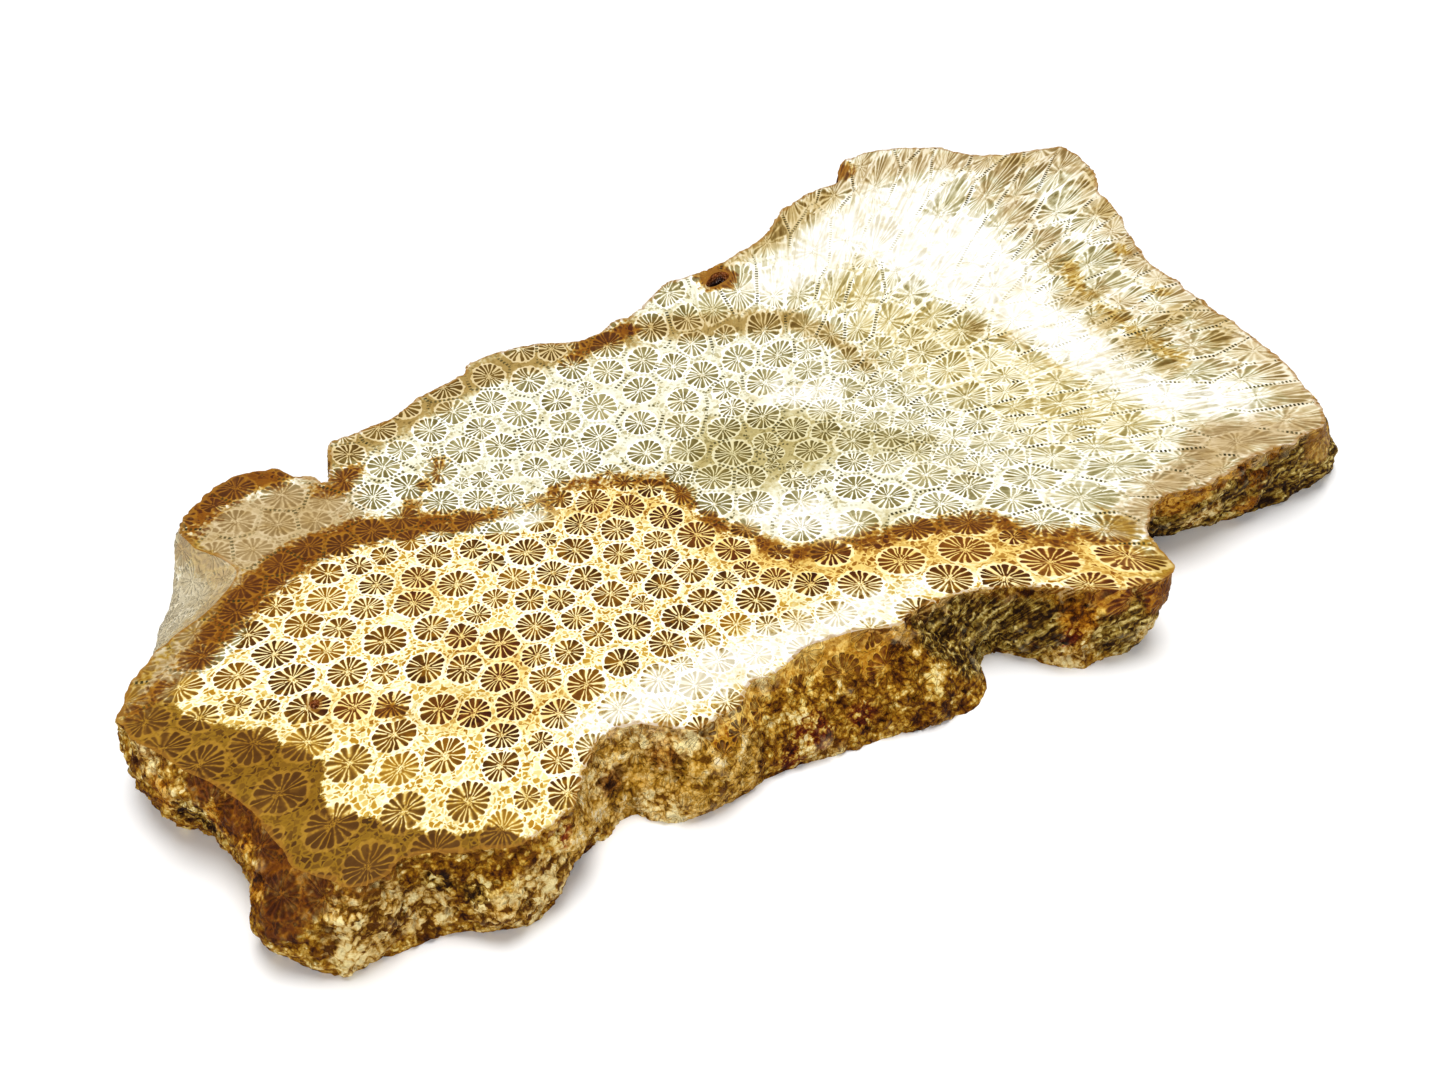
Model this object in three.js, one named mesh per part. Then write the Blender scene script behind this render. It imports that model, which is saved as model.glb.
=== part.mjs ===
// Fossil coral slice, in millimetres, +Z up.
//
// One slab of silicified coral, sawn flat above and below and lying on its lower sawn face. All round,
// its edge is broken and weathered: lobes, bays, a notch, a sloping chip, a ledge and small hollows.
// The slab's longest way runs along X and its thickness along Z. The origin lies under the middle of
// the slab's box, on the lower face.

import * as THREE from 'three';
import { ImprovedNoise } from 'three/addons/math/ImprovedNoise.js';

// Driving dimensions.
const THICKNESS = 13.5;
const COLUMN_STEP = 1.7; // spacing along the edge of the columns that the wall is built of
const LEDGE_BANDS = 2; // bands of faces from the sawn corner to the ledge
const WALL_BANDS = 6; // bands of faces from the ledge to the foot
const PLAIN_LEDGE_DROP = 1.3; // where there is no ledge, its ring lies this far below the top

// The broken edge, anticlockwise seen from above and starting at the left tip. A station is
//   [top x, top y, foot x, foot y]
// or, where a ledge or chip lies below the sawn corner,
//   [top x, top y, foot x, foot y, ledge x, ledge y, ledge drop].
// The belly is how far the wall swells outwards between its ledge and its foot.
const STRETCHES = [
  {
    // Left side, a narrow ledge over a hollowed wall.
    belly: 1.0,
    stations: [
      [-94.5, 21.5, -94.0, 22.0],
      [-95.0, 18.0, -94.5, 18.0],
      [-94.0, 13.5, -94.4, 14.6, -94.9, 13.8, 0.9],
      [-92.5, 9.5, -94.0, 11.4, -94.8, 9.8, 1.3],
      [-91.0, 4.5, -91.8, 8.4, -94.0, 5.2, 1.7],
      [-89.7, 0.5, -90.8, 4.0, -91.8, 0.6, 1.9],
      [-89.5, -5.0, -90.9, -1.0, -92.7, -4.6, 2.0],
    ],
  },
  {
    // Lower left lobe, its top a facet that slopes down to the left.
    belly: 0.8,
    stations: [
      [-89.6, -10.3, -91.8, -4.6, -92.9, -8.6, 2.6],
      [-90.0, -13.0, -94.4, -8.0, -94.2, -11.4, 4.2],
      [-88.3, -16.0, -95.2, -12.0, -94.6, -15.2, 5.2],
      [-87.3, -19.0, -93.4, -16.8, -92.4, -19.2, 4.6],
      [-85.5, -20.7, -90.8, -20.6, -88.8, -21.8, 2.6],
    ],
  },
  {
    // Front left wall, steep and crumbling.
    belly: 1.3,
    stations: [
      [-81.5, -21.0, -86.0, -22.0],
      [-78.5, -20.5, -82.0, -23.0],
      [-74.5, -24.0, -77.5, -24.5],
      [-72.0, -25.8, -75.0, -26.5],
      [-70.0, -27.3, -72.5, -28.5],
      [-67.5, -28.1, -69.5, -30.0],
      [-62.0, -28.0, -65.0, -29.6],
      [-59.2, -27.8, -60.2, -27.0],
    ],
  },
  {
    // Front bay between the lower left lobe and the front lobe.
    belly: 0.9,
    stations: [
      [-55.0, -24.0, -57.4, -26.0],
      [-50.5, -21.4, -53.5, -26.0],
      [-46.5, -22.6, -50.0, -25.3],
      [-44.0, -24.8, -48.3, -27.5],
      [-42.8, -27.0, -46.3, -30.0],
    ],
  },
  {
    // Front lobe, rounded over from its corner to its foot.
    belly: 1.6,
    stations: [
      [-41.3, -29.3, -43.5, -31.3],
      [-34.6, -29.5, -37.0, -32.5],
      [-31.0, -27.3, -33.0, -33.0],
      [-27.5, -28.5, -29.5, -33.5],
      [-21.0, -27.9, -22.5, -36.5],
      [-14.2, -30.2, -16.0, -38.0],
      [-10.4, -33.0, -9.0, -41.0],
      [-8.8, -33.0, -3.6, -42.6],
      [-7.6, -32.4, 0.6, -41.4],
    ],
  },
  {
    // Re-entrant wall between the front lobe and the right lobe, cut along the coral tubes.
    belly: 0.5,
    stations: [
      [-6.2, -32.3, 1.8, -39.4],
      [-3.5, -33.2, 3.0, -37.6],
      [0.0, -34.1, 4.6, -36.8],
      [4.0, -36.6, 6.4, -38.0],
    ],
  },
  {
    // Right lobe, steep, undercut at its right end.
    belly: 0.9,
    stations: [
      [8.7, -39.4, 8.8, -41.3],
      [11.3, -43.1, 10.4, -44.8],
      [14.2, -45.8, 12.5, -47.8],
      [17.6, -48.4, 16.8, -48.6],
      [21.4, -50.6, 20.0, -49.8],
      [24.0, -51.1, 22.0, -49.6],
      [26.3, -50.7, 23.6, -48.9],
      [27.0, -48.7, 24.8, -47.0],
      [27.2, -46.5, 26.6, -44.2],
    ],
  },
  {
    // Right bay and the right front wall, hollowed under its corner.
    belly: 0.6,
    stations: [
      [29.4, -43.3, 30.6, -40.6],
      [32.9, -40.7, 35.0, -37.8],
      [36.8, -40.4, 39.5, -37.2],
      [42.0, -43.3, 42.8, -39.0],
      [47.3, -44.0, 48.0, -40.9],
      [53.6, -44.1, 54.0, -43.3],
      [59.7, -45.9, 60.8, -45.6],
      [65.5, -46.8, 70.0, -47.0],
      [67.6, -45.7, 75.0, -46.2],
    ],
  },
  {
    // Right end, leaning out a little to its foot.
    belly: 0.7,
    stations: [
      [69.6, -43.0, 76.8, -43.0],
      [71.6, -38.8, 77.6, -38.4],
      [74.0, -33.4, 78.4, -33.0],
      [75.0, -27.8, 78.8, -27.5],
      [76.3, -22.0, 79.0, -21.5],
      [76.7, -17.0, 79.0, -16.5],
      [78.4, -10.3, 79.5, -10.0],
      [78.6, -4.0, 80.0, -3.5],
      [82.4, 3.5, 83.0, 4.0],
      [85.4, 7.2, 85.5, 8.0],
      [86.7, 10.0, 86.8, 10.8],
      [88.2, 13.0, 88.0, 14.0],
      [88.4, 15.1, 88.8, 16.5],
      [91.6, 18.0, 91.3, 19.5],
      [93.6, 21.4, 93.0, 22.3],
      [95.0, 24.9, 94.0, 25.3],
      [94.6, 26.6, 94.0, 27.0],
      [95.0, 29.0, 93.6, 28.4],
    ],
  },
  {
    // Back of the right end, in three shallow steps.
    belly: 0.6,
    stations: [
      [88.6, 31.7, 88.2, 31.0],
      [82.2, 35.8, 82.4, 34.8],
      [79.6, 39.0, 80.2, 38.2],
      [78.2, 42.5, 78.8, 41.8],
      [72.8, 47.4, 73.8, 46.4],
      [66.8, 50.6, 67.0, 49.4],
      [63.0, 51.1, 62.4, 49.8],
      [60.4, 50.3, 59.4, 48.6],
    ],
  },
  {
    // Long back wall.
    belly: 0.8,
    stations: [
      [56.8, 46.8, 56.0, 45.2],
      [49.4, 47.9, 49.4, 46.6],
      [43.8, 47.4, 43.8, 46.0],
      [39.2, 44.9, 38.8, 43.8],
      [35.4, 43.2, 35.4, 42.6],
      [25.4, 42.6, 25.4, 43.4],
      [18.6, 43.6, 18.6, 44.2],
      [15.4, 44.6, 15.0, 45.0],
      [9.2, 42.7, 9.2, 43.6],
      [5.6, 41.8, 5.4, 43.0],
      [2.6, 42.6, 2.4, 43.2],
      [-1.2, 41.4, -1.0, 42.6],
      [-4.6, 42.4, -4.4, 43.4],
      [-10.8, 46.6, -10.6, 46.6],
      [-14.8, 48.1, -14.6, 47.6],
      [-20.6, 48.8, -20.4, 48.0],
      [-22.6, 47.6, -22.8, 46.6],
      [-32.0, 47.1, -32.0, 46.0],
      [-36.8, 46.1, -36.8, 45.4],
      [-42.0, 46.9, -42.0, 46.2],
      [-46.6, 47.8, -46.0, 46.8],
    ],
  },
  {
    // Notch, its right wall straight and its left wall stepped.
    belly: 0.1,
    stations: [
      [-48.8, 44.0, -48.4, 43.6],
      [-51.2, 40.2, -50.8, 40.4],
      [-52.1, 43.0, -52.0, 43.2],
      [-54.3, 44.7, -54.0, 44.4],
    ],
  },
  {
    // Back left lobe.
    belly: 0.8,
    stations: [
      [-54.8, 47.8, -54.6, 46.8],
      [-59.6, 50.6, -59.4, 49.4],
      [-65.4, 49.9, -65.4, 48.8],
      [-70.2, 47.7, -70.4, 47.2],
    ],
  },
  {
    // Sloping chip out of the back left corner.
    belly: 0.4,
    stations: [
      [-72.5, 45.7, -73.8, 46.2, -73.3, 46.4, 1.8],
      [-72.1, 41.0, -76.4, 43.4, -75.6, 43.2, 4.4],
      [-70.0, 36.6, -78.8, 40.2, -78.0, 40.0, 5.2],
      [-70.0, 33.2, -80.8, 37.6, -80.2, 37.4, 5.0],
      [-72.6, 31.2, -82.4, 35.4, -81.6, 35.4, 4.2],
      [-77.4, 29.5, -84.2, 33.2, -83.2, 33.0, 3.0],
      [-81.8, 28.7, -86.0, 30.8, -84.8, 30.4, 1.8],
    ],
  },
  {
    // Left tip.
    belly: 0.6,
    stations: [
      [-86.0, 27.6, -88.0, 28.0],
      [-91.0, 24.9, -91.8, 25.0],
      [-92.4, 23.2, -92.8, 23.6],
    ],
  },
];

// Hollows (depth above 0) and lumps (depth below 0) of the wall: middle [x, y, z], radius and depth.
const WALL_FORMS = [
  { at: [-92.5, 4.5, 6.5], radius: 4.5, depth: 1.2 }, // hollow under the ledge of the left side
  { at: [-95.0, 14.0, 7.0], radius: 6.0, depth: -0.6 }, // knob under the left tip
  { at: [-95.5, -11.5, 5.0], radius: 5.0, depth: -0.6 }, // shoulder of the lower left lobe
  { at: [-79.5, -23.0, 6.0], radius: 5.0, depth: 1.6 }, // crystal hollow of the front left wall
  { at: [-72.0, -28.0, 5.0], radius: 4.5, depth: -0.9 }, // knob beside the crystal hollow
  { at: [-50.5, -23.5, 9.5], radius: 4.5, depth: -0.9 }, // brown lump of the front bay
  { at: [-38.0, -32.0, 5.0], radius: 6.0, depth: -0.8 }, // left swell of the front lobe
  { at: [-29.0, -31.5, 6.0], radius: 5.5, depth: 0.8 }, // dip of the front lobe
  { at: [-11.0, -39.0, 5.0], radius: 7.5, depth: -1.2 }, // right swell of the front lobe
  { at: [-5.0, -35.5, 8.0], radius: 3.2, depth: 1.2 }, // groove at the end of the front lobe
  { at: [18.0, -49.5, 9.5], radius: 5.5, depth: -0.8 }, // lip of the right lobe
  { at: [37.0, -39.5, 6.0], radius: 7.0, depth: 1.0 }, // hollow under the right front corner
  { at: [52.0, -43.5, 4.5], radius: 7.0, depth: -1.0 }, // swell of the right front wall
  { at: [66.0, -47.0, 5.0], radius: 6.0, depth: -0.9 }, // swell of the right front corner
];

// Small holes in the sawn top: middle [x, y], radii along X and Y, and depth.
const PITS = [
  { at: [22.6, 39.9], radii: [2.3, 1.5], depth: 3.4, sides: 14 }, // vug near the back edge
  { at: [-74.7, 6.5], radii: [0.7, 0.9], depth: 1.3, sides: 9 }, // pinhole near the left side
];

// The rings of a pit, as shares of its radii and of its depth.
const PIT_LEVELS = [
  { width: 1, down: 0 },
  { width: 0.86, down: 0.4 },
  { width: 0.5, down: 0.85 },
];

// The broken surface: a ragged outline, lumps across the wall, and flutes that follow the coral's
// tubes. The tubes stand upright at the middle of the colony and lean outwards all round it. A wave is
// the spacing of the noise that shapes them, and a layer is the level that flat noise is read at.
const RAGGED = { wave: 3.4, height: 0.5, layer: 3.7 };
const LUMPS = { wave: 6.5, height: 0.85 };
const FLUTES = { wave: 2.3, height: 0.42, layer: 0.5 };
const COLONY_MIDDLE = { x: -36, y: 2 };
const LEAN_PER_MM = 1 / 62; // sideways run of a tube for each mm of height, per mm from the middle
const SMOOTHING_REACH = 2; // columns either side that the outward direction is taken over

const noise = new ImprovedNoise();

/** One column of the wall: its corner on the sawn top, its ledge, its foot and its belly. */
function columnAt(station, belly) {
  const [topX, topY, footX, footY, ledgeX, ledgeY, ledgeDrop] = station;
  const top = new THREE.Vector3(topX, topY, THICKNESS);
  const foot = new THREE.Vector3(footX, footY, 0);
  const drop = ledgeDrop ?? PLAIN_LEDGE_DROP;
  const ledge =
    ledgeDrop === undefined
      ? top.clone().lerp(foot, drop / THICKNESS)
      : new THREE.Vector3(ledgeX, ledgeY, THICKNESS - drop);
  return { top, ledge, foot, belly };
}

/** Columns all round the edge, evenly filled in between the stations. */
function columnsRoundTheEdge() {
  const corners = STRETCHES.flatMap(({ belly, stations }) =>
    stations.map((station) => columnAt(station, belly)),
  );
  return corners.flatMap((column, index) => {
    const next = corners[(index + 1) % corners.length];
    const run = (column.top.distanceTo(next.top) + column.foot.distanceTo(next.foot)) / 2;
    const steps = Math.max(1, Math.round(run / COLUMN_STEP));
    return Array.from({ length: steps }, (_, step) => ({
      top: column.top.clone().lerp(next.top, step / steps),
      ledge: column.ledge.clone().lerp(next.ledge, step / steps),
      foot: column.foot.clone().lerp(next.foot, step / steps),
      belly: THREE.MathUtils.lerp(column.belly, next.belly, step / steps),
    }));
  });
}

/** Level direction that points out of the slab at one column, taken over its neighbours. */
function outwardAt(columns, index) {
  const count = columns.length;
  const ahead = columns[(index + SMOOTHING_REACH) % count].ledge;
  const behind = columns[(index - SMOOTHING_REACH + count) % count].ledge;
  const along = ahead.clone().sub(behind);
  return new THREE.Vector3(along.y, -along.x, 0).normalize();
}

/** How far a point of the wall stands out from its smooth form: waves, flutes, hollows and lumps. */
function reliefAt(point, outward) {
  const below = THICKNESS - point.z;
  const swell = Math.sin((Math.PI * point.z) / THICKNESS);
  const lumps = noise.noise(point.x / LUMPS.wave, point.y / LUMPS.wave, point.z / LUMPS.wave);
  const tubeX = point.x + below * LEAN_PER_MM * (point.x - COLONY_MIDDLE.x);
  const tubeY = point.y + below * LEAN_PER_MM * (point.y - COLONY_MIDDLE.y);
  const flutes = noise.noise(tubeX / FLUTES.wave, tubeY / FLUTES.wave, FLUTES.layer);
  const forms = WALL_FORMS.reduce((sum, { at, radius, depth }) => {
    const away = point.distanceTo(new THREE.Vector3(...at)) / radius;
    return away < 1 ? sum - depth * (1 - away * away) ** 2 : sum;
  }, 0);
  return outward
    .clone()
    .multiplyScalar(swell * (LUMPS.height * lumps + FLUTES.height * flutes) + forms);
}

/** The points of one column from the sawn corner down to the foot. */
function wallPoints(columns, index) {
  const { top, ledge, foot, belly } = columns[index];
  const outward = outwardAt(columns, index);
  const ragged =
    RAGGED.height * noise.noise(ledge.x / RAGGED.wave, ledge.y / RAGGED.wave, RAGGED.layer);
  const smooth = [];
  for (let band = 0; band < LEDGE_BANDS; band += 1) {
    smooth.push(top.clone().lerp(ledge, band / LEDGE_BANDS));
  }
  for (let band = 0; band <= WALL_BANDS; band += 1) {
    const down = band / WALL_BANDS;
    const point = ledge.clone().lerp(foot, down);
    smooth.push(point.addScaledVector(outward, belly * Math.sin(Math.PI * down)));
  }
  return smooth.map((point) =>
    point.addScaledVector(outward, ragged).add(reliefAt(point, outward)),
  );
}

/** The rings of a pit from its rim down: uneven, wide at the top and closing to its lowest point. */
function pitRings({ at, radii, depth, sides }) {
  return PIT_LEVELS.map(({ width, down }) =>
    Array.from({ length: sides }, (_, side) => {
      const angle = (2 * Math.PI * side) / sides;
      const wobble = 1 + 0.16 * Math.sin(2 * angle + 0.6) + 0.1 * Math.sin(3 * angle + at[0]);
      return new THREE.Vector3(
        at[0] + radii[0] * width * wobble * Math.cos(angle),
        at[1] + radii[1] * width * wobble * Math.sin(angle),
        THICKNESS - depth * down,
      );
    }),
  );
}

/** Two faces for each step between two closed rings of equal length; `upper` lies above `lower`. */
function joinRings(faces, upper, lower) {
  upper.forEach((corner, step) => {
    const next = (step + 1) % upper.length;
    faces.push([corner, lower[step], lower[next]], [corner, lower[next], upper[next]]);
  });
}

/** The closed solid of the slab. */
function slabGeometry() {
  const vertices = [];
  const faces = [];
  const addRing = (points) => points.map((point) => vertices.push(point) - 1);

  const columns = columnsRoundTheEdge();
  const profiles = columns.map((_, index) => wallPoints(columns, index));
  const rings = profiles[0].map((_, level) => addRing(profiles.map((profile) => profile[level])));
  rings.slice(1).forEach((ring, level) => joinRings(faces, rings[level], ring));

  const pitMouths = PITS.map((pit) => {
    const [rim, ...inner] = pitRings(pit).map(addRing);
    [rim, ...inner.slice(0, -1)].forEach((ring, level) => {
      joinRings(faces, inner[level], ring);
    });
    const deepest = inner[inner.length - 1];
    const [bottom] = addRing([new THREE.Vector3(pit.at[0], pit.at[1], THICKNESS - pit.depth)]);
    deepest.forEach((corner, side) => {
      faces.push([corner, deepest[(side + 1) % deepest.length], bottom]);
    });
    return rim;
  });

  const flat = (ring) => ring.map((corner) => new THREE.Vector2(vertices[corner].x, vertices[corner].y));
  const topRing = rings[0];
  const topCorners = [topRing, ...pitMouths].flat();
  const topFaces = THREE.ShapeUtils.triangulateShape(flat(topRing), pitMouths.map(flat));
  topFaces.forEach((face) => faces.push(face.map((corner) => topCorners[corner])));
  const footRing = rings[rings.length - 1];
  const footFaces = THREE.ShapeUtils.triangulateShape(flat(footRing), []);
  footFaces.forEach((face) => faces.push(face.map((corner) => footRing[corner]).reverse()));

  const geometry = new THREE.BufferGeometry().setFromPoints(vertices);
  geometry.setIndex(faces.flat());
  geometry.computeBoundingBox();
  const middle = geometry.boundingBox.getCenter(new THREE.Vector3());
  geometry.translate(-middle.x, -middle.y, 0);
  geometry.computeVertexNormals();
  return geometry;
}

const coralStone = new THREE.MeshStandardMaterial({
  color: 0xc9a25c,
  roughness: 0.35,
  metalness: 0,
  flatShading: true,
});

const coralSlab = new THREE.Mesh(slabGeometry(), coralStone);
coralSlab.name = 'coral_slab';

const group = new THREE.Group();
group.add(coralSlab);

export default group;
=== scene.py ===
"""Fossil coral slice: its polished face, sawn underside and broken, weathered edge.

The coral grew as a bundle of tubes that stand upright at the middle of the colony and lean outwards
all round it. A saw cut shows each tube as a corallite: a ring with thin walls, the septa, that run in
to its middle. Every surface of the slab cuts the same tubes, so all of them read the same colony.

Shapes are worked out in millimetres and put into meshes in metres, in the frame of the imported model.
"""

import logging
import math
from collections.abc import Iterable
from dataclasses import dataclass, field
from enum import IntEnum, StrEnum

import bpy
import numpy as np
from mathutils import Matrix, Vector, kdtree, noise
from mathutils.geometry import delaunay_2d_cdt

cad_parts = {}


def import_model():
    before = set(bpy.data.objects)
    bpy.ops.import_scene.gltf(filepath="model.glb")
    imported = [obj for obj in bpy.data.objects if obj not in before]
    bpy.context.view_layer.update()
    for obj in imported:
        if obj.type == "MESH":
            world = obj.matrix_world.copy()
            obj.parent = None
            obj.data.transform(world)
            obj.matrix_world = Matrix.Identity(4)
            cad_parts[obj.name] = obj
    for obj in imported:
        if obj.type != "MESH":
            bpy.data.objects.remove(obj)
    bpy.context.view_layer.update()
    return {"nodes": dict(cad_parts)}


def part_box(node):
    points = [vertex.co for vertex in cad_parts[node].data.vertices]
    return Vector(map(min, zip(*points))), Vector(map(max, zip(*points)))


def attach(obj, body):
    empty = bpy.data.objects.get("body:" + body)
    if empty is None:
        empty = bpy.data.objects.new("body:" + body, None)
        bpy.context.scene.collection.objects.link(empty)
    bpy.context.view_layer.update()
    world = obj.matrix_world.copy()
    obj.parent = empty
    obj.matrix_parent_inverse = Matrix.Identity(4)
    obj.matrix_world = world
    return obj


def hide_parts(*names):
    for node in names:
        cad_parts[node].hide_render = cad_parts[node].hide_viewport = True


MM = 0.001
NODE = "coral_slab"
BODY = "root"
LEVEL = 1e-3  # heights nearer than this to a sawn face lie on it, in millimetres
SLIVER = 1e-6  # faces with less area than this are left out, in square millimetres
LOG = logging.getLogger("fossil_coral_slice")

Point = tuple[float, float]
Pair = tuple[int, int]


# ---------------- colours and node work


def tint(code: str) -> tuple[float, float, float, float]:
    """A colour written as RRGGBB, as the linear red, green, blue and alpha that a node takes.

    Args:
        code: six hexadecimal digits.

    Returns:
        The parts of the colour.
    """
    shares = [int(code[start : start + 2], 16) / 255 for start in (0, 2, 4)]
    linear = [s / 12.92 if s <= 0.04045 else ((s + 0.055) / 1.055) ** 2.4 for s in shares]
    return linear[0], linear[1], linear[2], 1.0


def depth_of(code: str) -> tuple[float, ...]:
    """The logarithms of a colour's parts, which stains add to as they thicken."""
    return tuple(math.log(part + 0.004) for part in tint(code)[:3])


class Plug(StrEnum):
    """What a socket of a node group carries."""

    NUMBER = "NodeSocketFloat"
    VECTOR = "NodeSocketVector"
    COLOUR = "NodeSocketColor"


@dataclass(frozen=True)
class Signal:
    """What an output of a node carries. Arithmetic on it adds the nodes that work out the result."""

    bench: "Bench"
    socket: bpy.types.NodeSocket

    def __add__(self, other: object) -> "Signal":
        """The sum of this and another."""
        return self.bench.reckon("ADD", self, other)

    def __radd__(self, other: object) -> "Signal":
        """The sum of another and this."""
        return self.bench.reckon("ADD", other, self)

    def __sub__(self, other: object) -> "Signal":
        """This less another."""
        return self.bench.reckon("SUBTRACT", self, other)

    def __rsub__(self, other: object) -> "Signal":
        """Another less this."""
        return self.bench.reckon("SUBTRACT", other, self)

    def __mul__(self, other: object) -> "Signal":
        """This times another."""
        return self.bench.reckon("MULTIPLY", self, other)

    def __rmul__(self, other: object) -> "Signal":
        """Another times this."""
        return self.bench.reckon("MULTIPLY", other, self)

    def __truediv__(self, other: object) -> "Signal":
        """This divided by another."""
        return self.bench.reckon("DIVIDE", self, other)

    def __pow__(self, power: float) -> "Signal":
        """This raised to a power."""
        return self.bench.reckon("POWER", self, power)

    def step(self, low: object, high: object) -> "Signal":
        """A soft step from 0 at low to 1 at high."""
        ends = {"Value": self, "From Min": low, "From Max": high}
        return self.bench.place("MapRange", ends, interpolation_type="SMOOTHSTEP")["Result"]

    def spread(self, low: float, high: float) -> "Signal":
        """This share from 0 to 1, laid out evenly between two numbers."""
        return self.bench.place("MapRange", {"Value": self, "To Min": low, "To Max": high})["Result"]


@dataclass(frozen=True)
class Placed:
    """A node in its tree. Indexing it gives the signal of one of its outputs."""

    bench: "Bench"
    node: bpy.types.Node

    def __getitem__(self, output: int | str) -> Signal:
        """The signal of the output with this place or name."""
        return Signal(self.bench, self.node.outputs[output])


class Bench:
    """Places nodes in one tree and links them, so that a finish reads as a recipe."""

    def __init__(self, tree: bpy.types.NodeTree) -> None:
        """Works in the given tree."""
        self.tree = tree

    def feed(self, node: bpy.types.Node, feeds: dict[int | str, object]) -> None:
        """Links signals to a node's inputs, or sets the inputs to plain values.

        Args:
            node: the node.
            feeds: signals and values, by the place or name of the input.
        """
        for plug, value in feeds.items():
            if isinstance(value, Signal):
                self.tree.links.new(value.socket, node.inputs[plug])
            else:
                node.inputs[plug].default_value = value

    def place(self, kind: str, feeds: dict[int | str, object], **settings: object) -> Placed:
        """Adds a shader node.

        Args:
            kind: the node's type, without the word that all shader nodes start with.
            feeds: what its inputs get, by place or name.
            settings: its properties by name.

        Returns:
            The new node.
        """
        node = self.tree.nodes.new(f"ShaderNode{kind}")
        for name, value in settings.items():
            setattr(node, name, value)
        self.feed(node, feeds)
        return Placed(self, node)

    def math(self, operation: str, *values: object) -> Signal:
        """One step of arithmetic on numbers."""
        return self.place("Math", dict(enumerate(values)), operation=operation)[0]

    def vector(self, operation: str, *values: object) -> Signal:
        """One step of arithmetic on vectors. A length is the only result that is a number."""
        made = self.place("VectorMath", dict(enumerate(values)), operation=operation)
        return made["Value" if operation == "LENGTH" else "Vector"]

    def reckon(self, operation: str, *sides: object) -> Signal:
        """One step of arithmetic on two numbers, on two vectors, or on a vector and its factor.

        Args:
            operation: the node's operation.
            sides: the two sides of the sum.

        Returns:
            A vector if either side is one, and otherwise a number.
        """
        vectors = [side for side in sides if self._is_vector(side)]
        if not vectors:
            return self.math(operation, *sides)
        if len(vectors) == 2:
            return self.vector(operation, *sides)
        factor = sides[0] if sides[1] is vectors[0] else sides[1]
        return self.place("VectorMath", {0: vectors[0], "Scale": factor}, operation="SCALE")["Vector"]

    @staticmethod
    def _is_vector(side: object) -> bool:
        """Whether one side of a sum is a vector or a colour, and not a number.

        Args:
            side: a signal, a number or a tuple.

        Returns:
            True for a vector or a colour.
        """
        if isinstance(side, Signal):
            return side.socket.type in ("VECTOR", "RGBA")
        return isinstance(side, tuple)

    def highest(self, first: object, second: object) -> Signal:
        """The higher of two numbers."""
        return self.math("MAXIMUM", first, second)

    def blend(self, share: object, first: object, second: object, mode: str = "MIX") -> Signal:
        """A mix of two colours.

        Args:
            share: how much of the second there is, from 0 to 1.
            first: a colour or a signal.
            second: a colour or a signal.
            mode: how the two are mixed.

        Returns:
            The mixed colour.
        """
        feeds = {0: share, 6: first, 7: second}
        return self.place("Mix", feeds, data_type="RGBA", blend_type=mode)[2]

    def soak(self, share: object, first: object, second: object) -> Signal:
        """A mix of the logarithms of two colours, as of one stain thickening into another."""
        return self.place("Mix", {0: share, 4: first, 5: second}, data_type="VECTOR")[1]

    def dye(self, share: Signal | float, depth: Signal, code: str) -> Signal:
        """Adds a share of one more tint to the logarithms of a colour."""
        return depth + self.reckon("MULTIPLY", depth_of(code), share)

    def cloud(self, place: Signal, scale: float, detail: float = 2, twist: float = 0) -> Placed:
        """Soft noise with waves of 1 / scale. Its second output holds three noises at once."""
        feeds = {"Vector": place, "Scale": scale, "Detail": detail, "Distortion": twist}
        return self.place("TexNoise", feeds)

    def grain(self, place: Signal, scale: float, detail: float = 2, twist: float = 0) -> Signal:
        """Soft noise as one number from about 0.2 to 0.8."""
        return self.cloud(place, scale, detail, twist)[0]

    def wave(self, place: Signal, scale: float, detail: float = 2, twist: float = 0) -> Signal:
        """Soft noise as one number about 0, from about -0.3 to 0.3."""
        return self.grain(place, scale, detail, twist) - 0.5

    def crumbs(self, place: Signal, scale: float, feature: str = "F1") -> Placed:
        """A Voronoi texture: crumbs of about 1 / scale."""
        return self.place("TexVoronoi", {"Vector": place, "Scale": scale}, feature=feature)

    def split(self, signal: Signal) -> Placed:
        """The three parts of a vector or a colour."""
        kind = "SeparateColor" if signal.socket.type == "RGBA" else "SeparateXYZ"
        return self.place(kind, {0: signal})

    def upwards(self, height: Signal) -> Signal:
        """A vector along Z."""
        return self.place("CombineXYZ", {"Z": height})[0]

    def number(self, name: str) -> Signal:
        """A number that the mesh carries under this name."""
        return self.place("Attribute", {}, attribute_name=name)["Fac"]

    def chart(self, name: str) -> Signal:
        """A UV map of the mesh."""
        return self.place("UVMap", {}, uv_map=name)["UV"]

    def millimetres(self) -> Signal:
        """Object coordinates in millimetres."""
        return self.place("TexCoord", {})["Object"] * (1 / MM)

    def group(self, tree: bpy.types.NodeTree, **values: object) -> Placed:
        """Places a node group. An underscore in a value's name stands for a space."""
        feeds = {name.replace("_", " "): value for name, value in values.items()}
        return self.place("Group", feeds, node_tree=tree)


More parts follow.
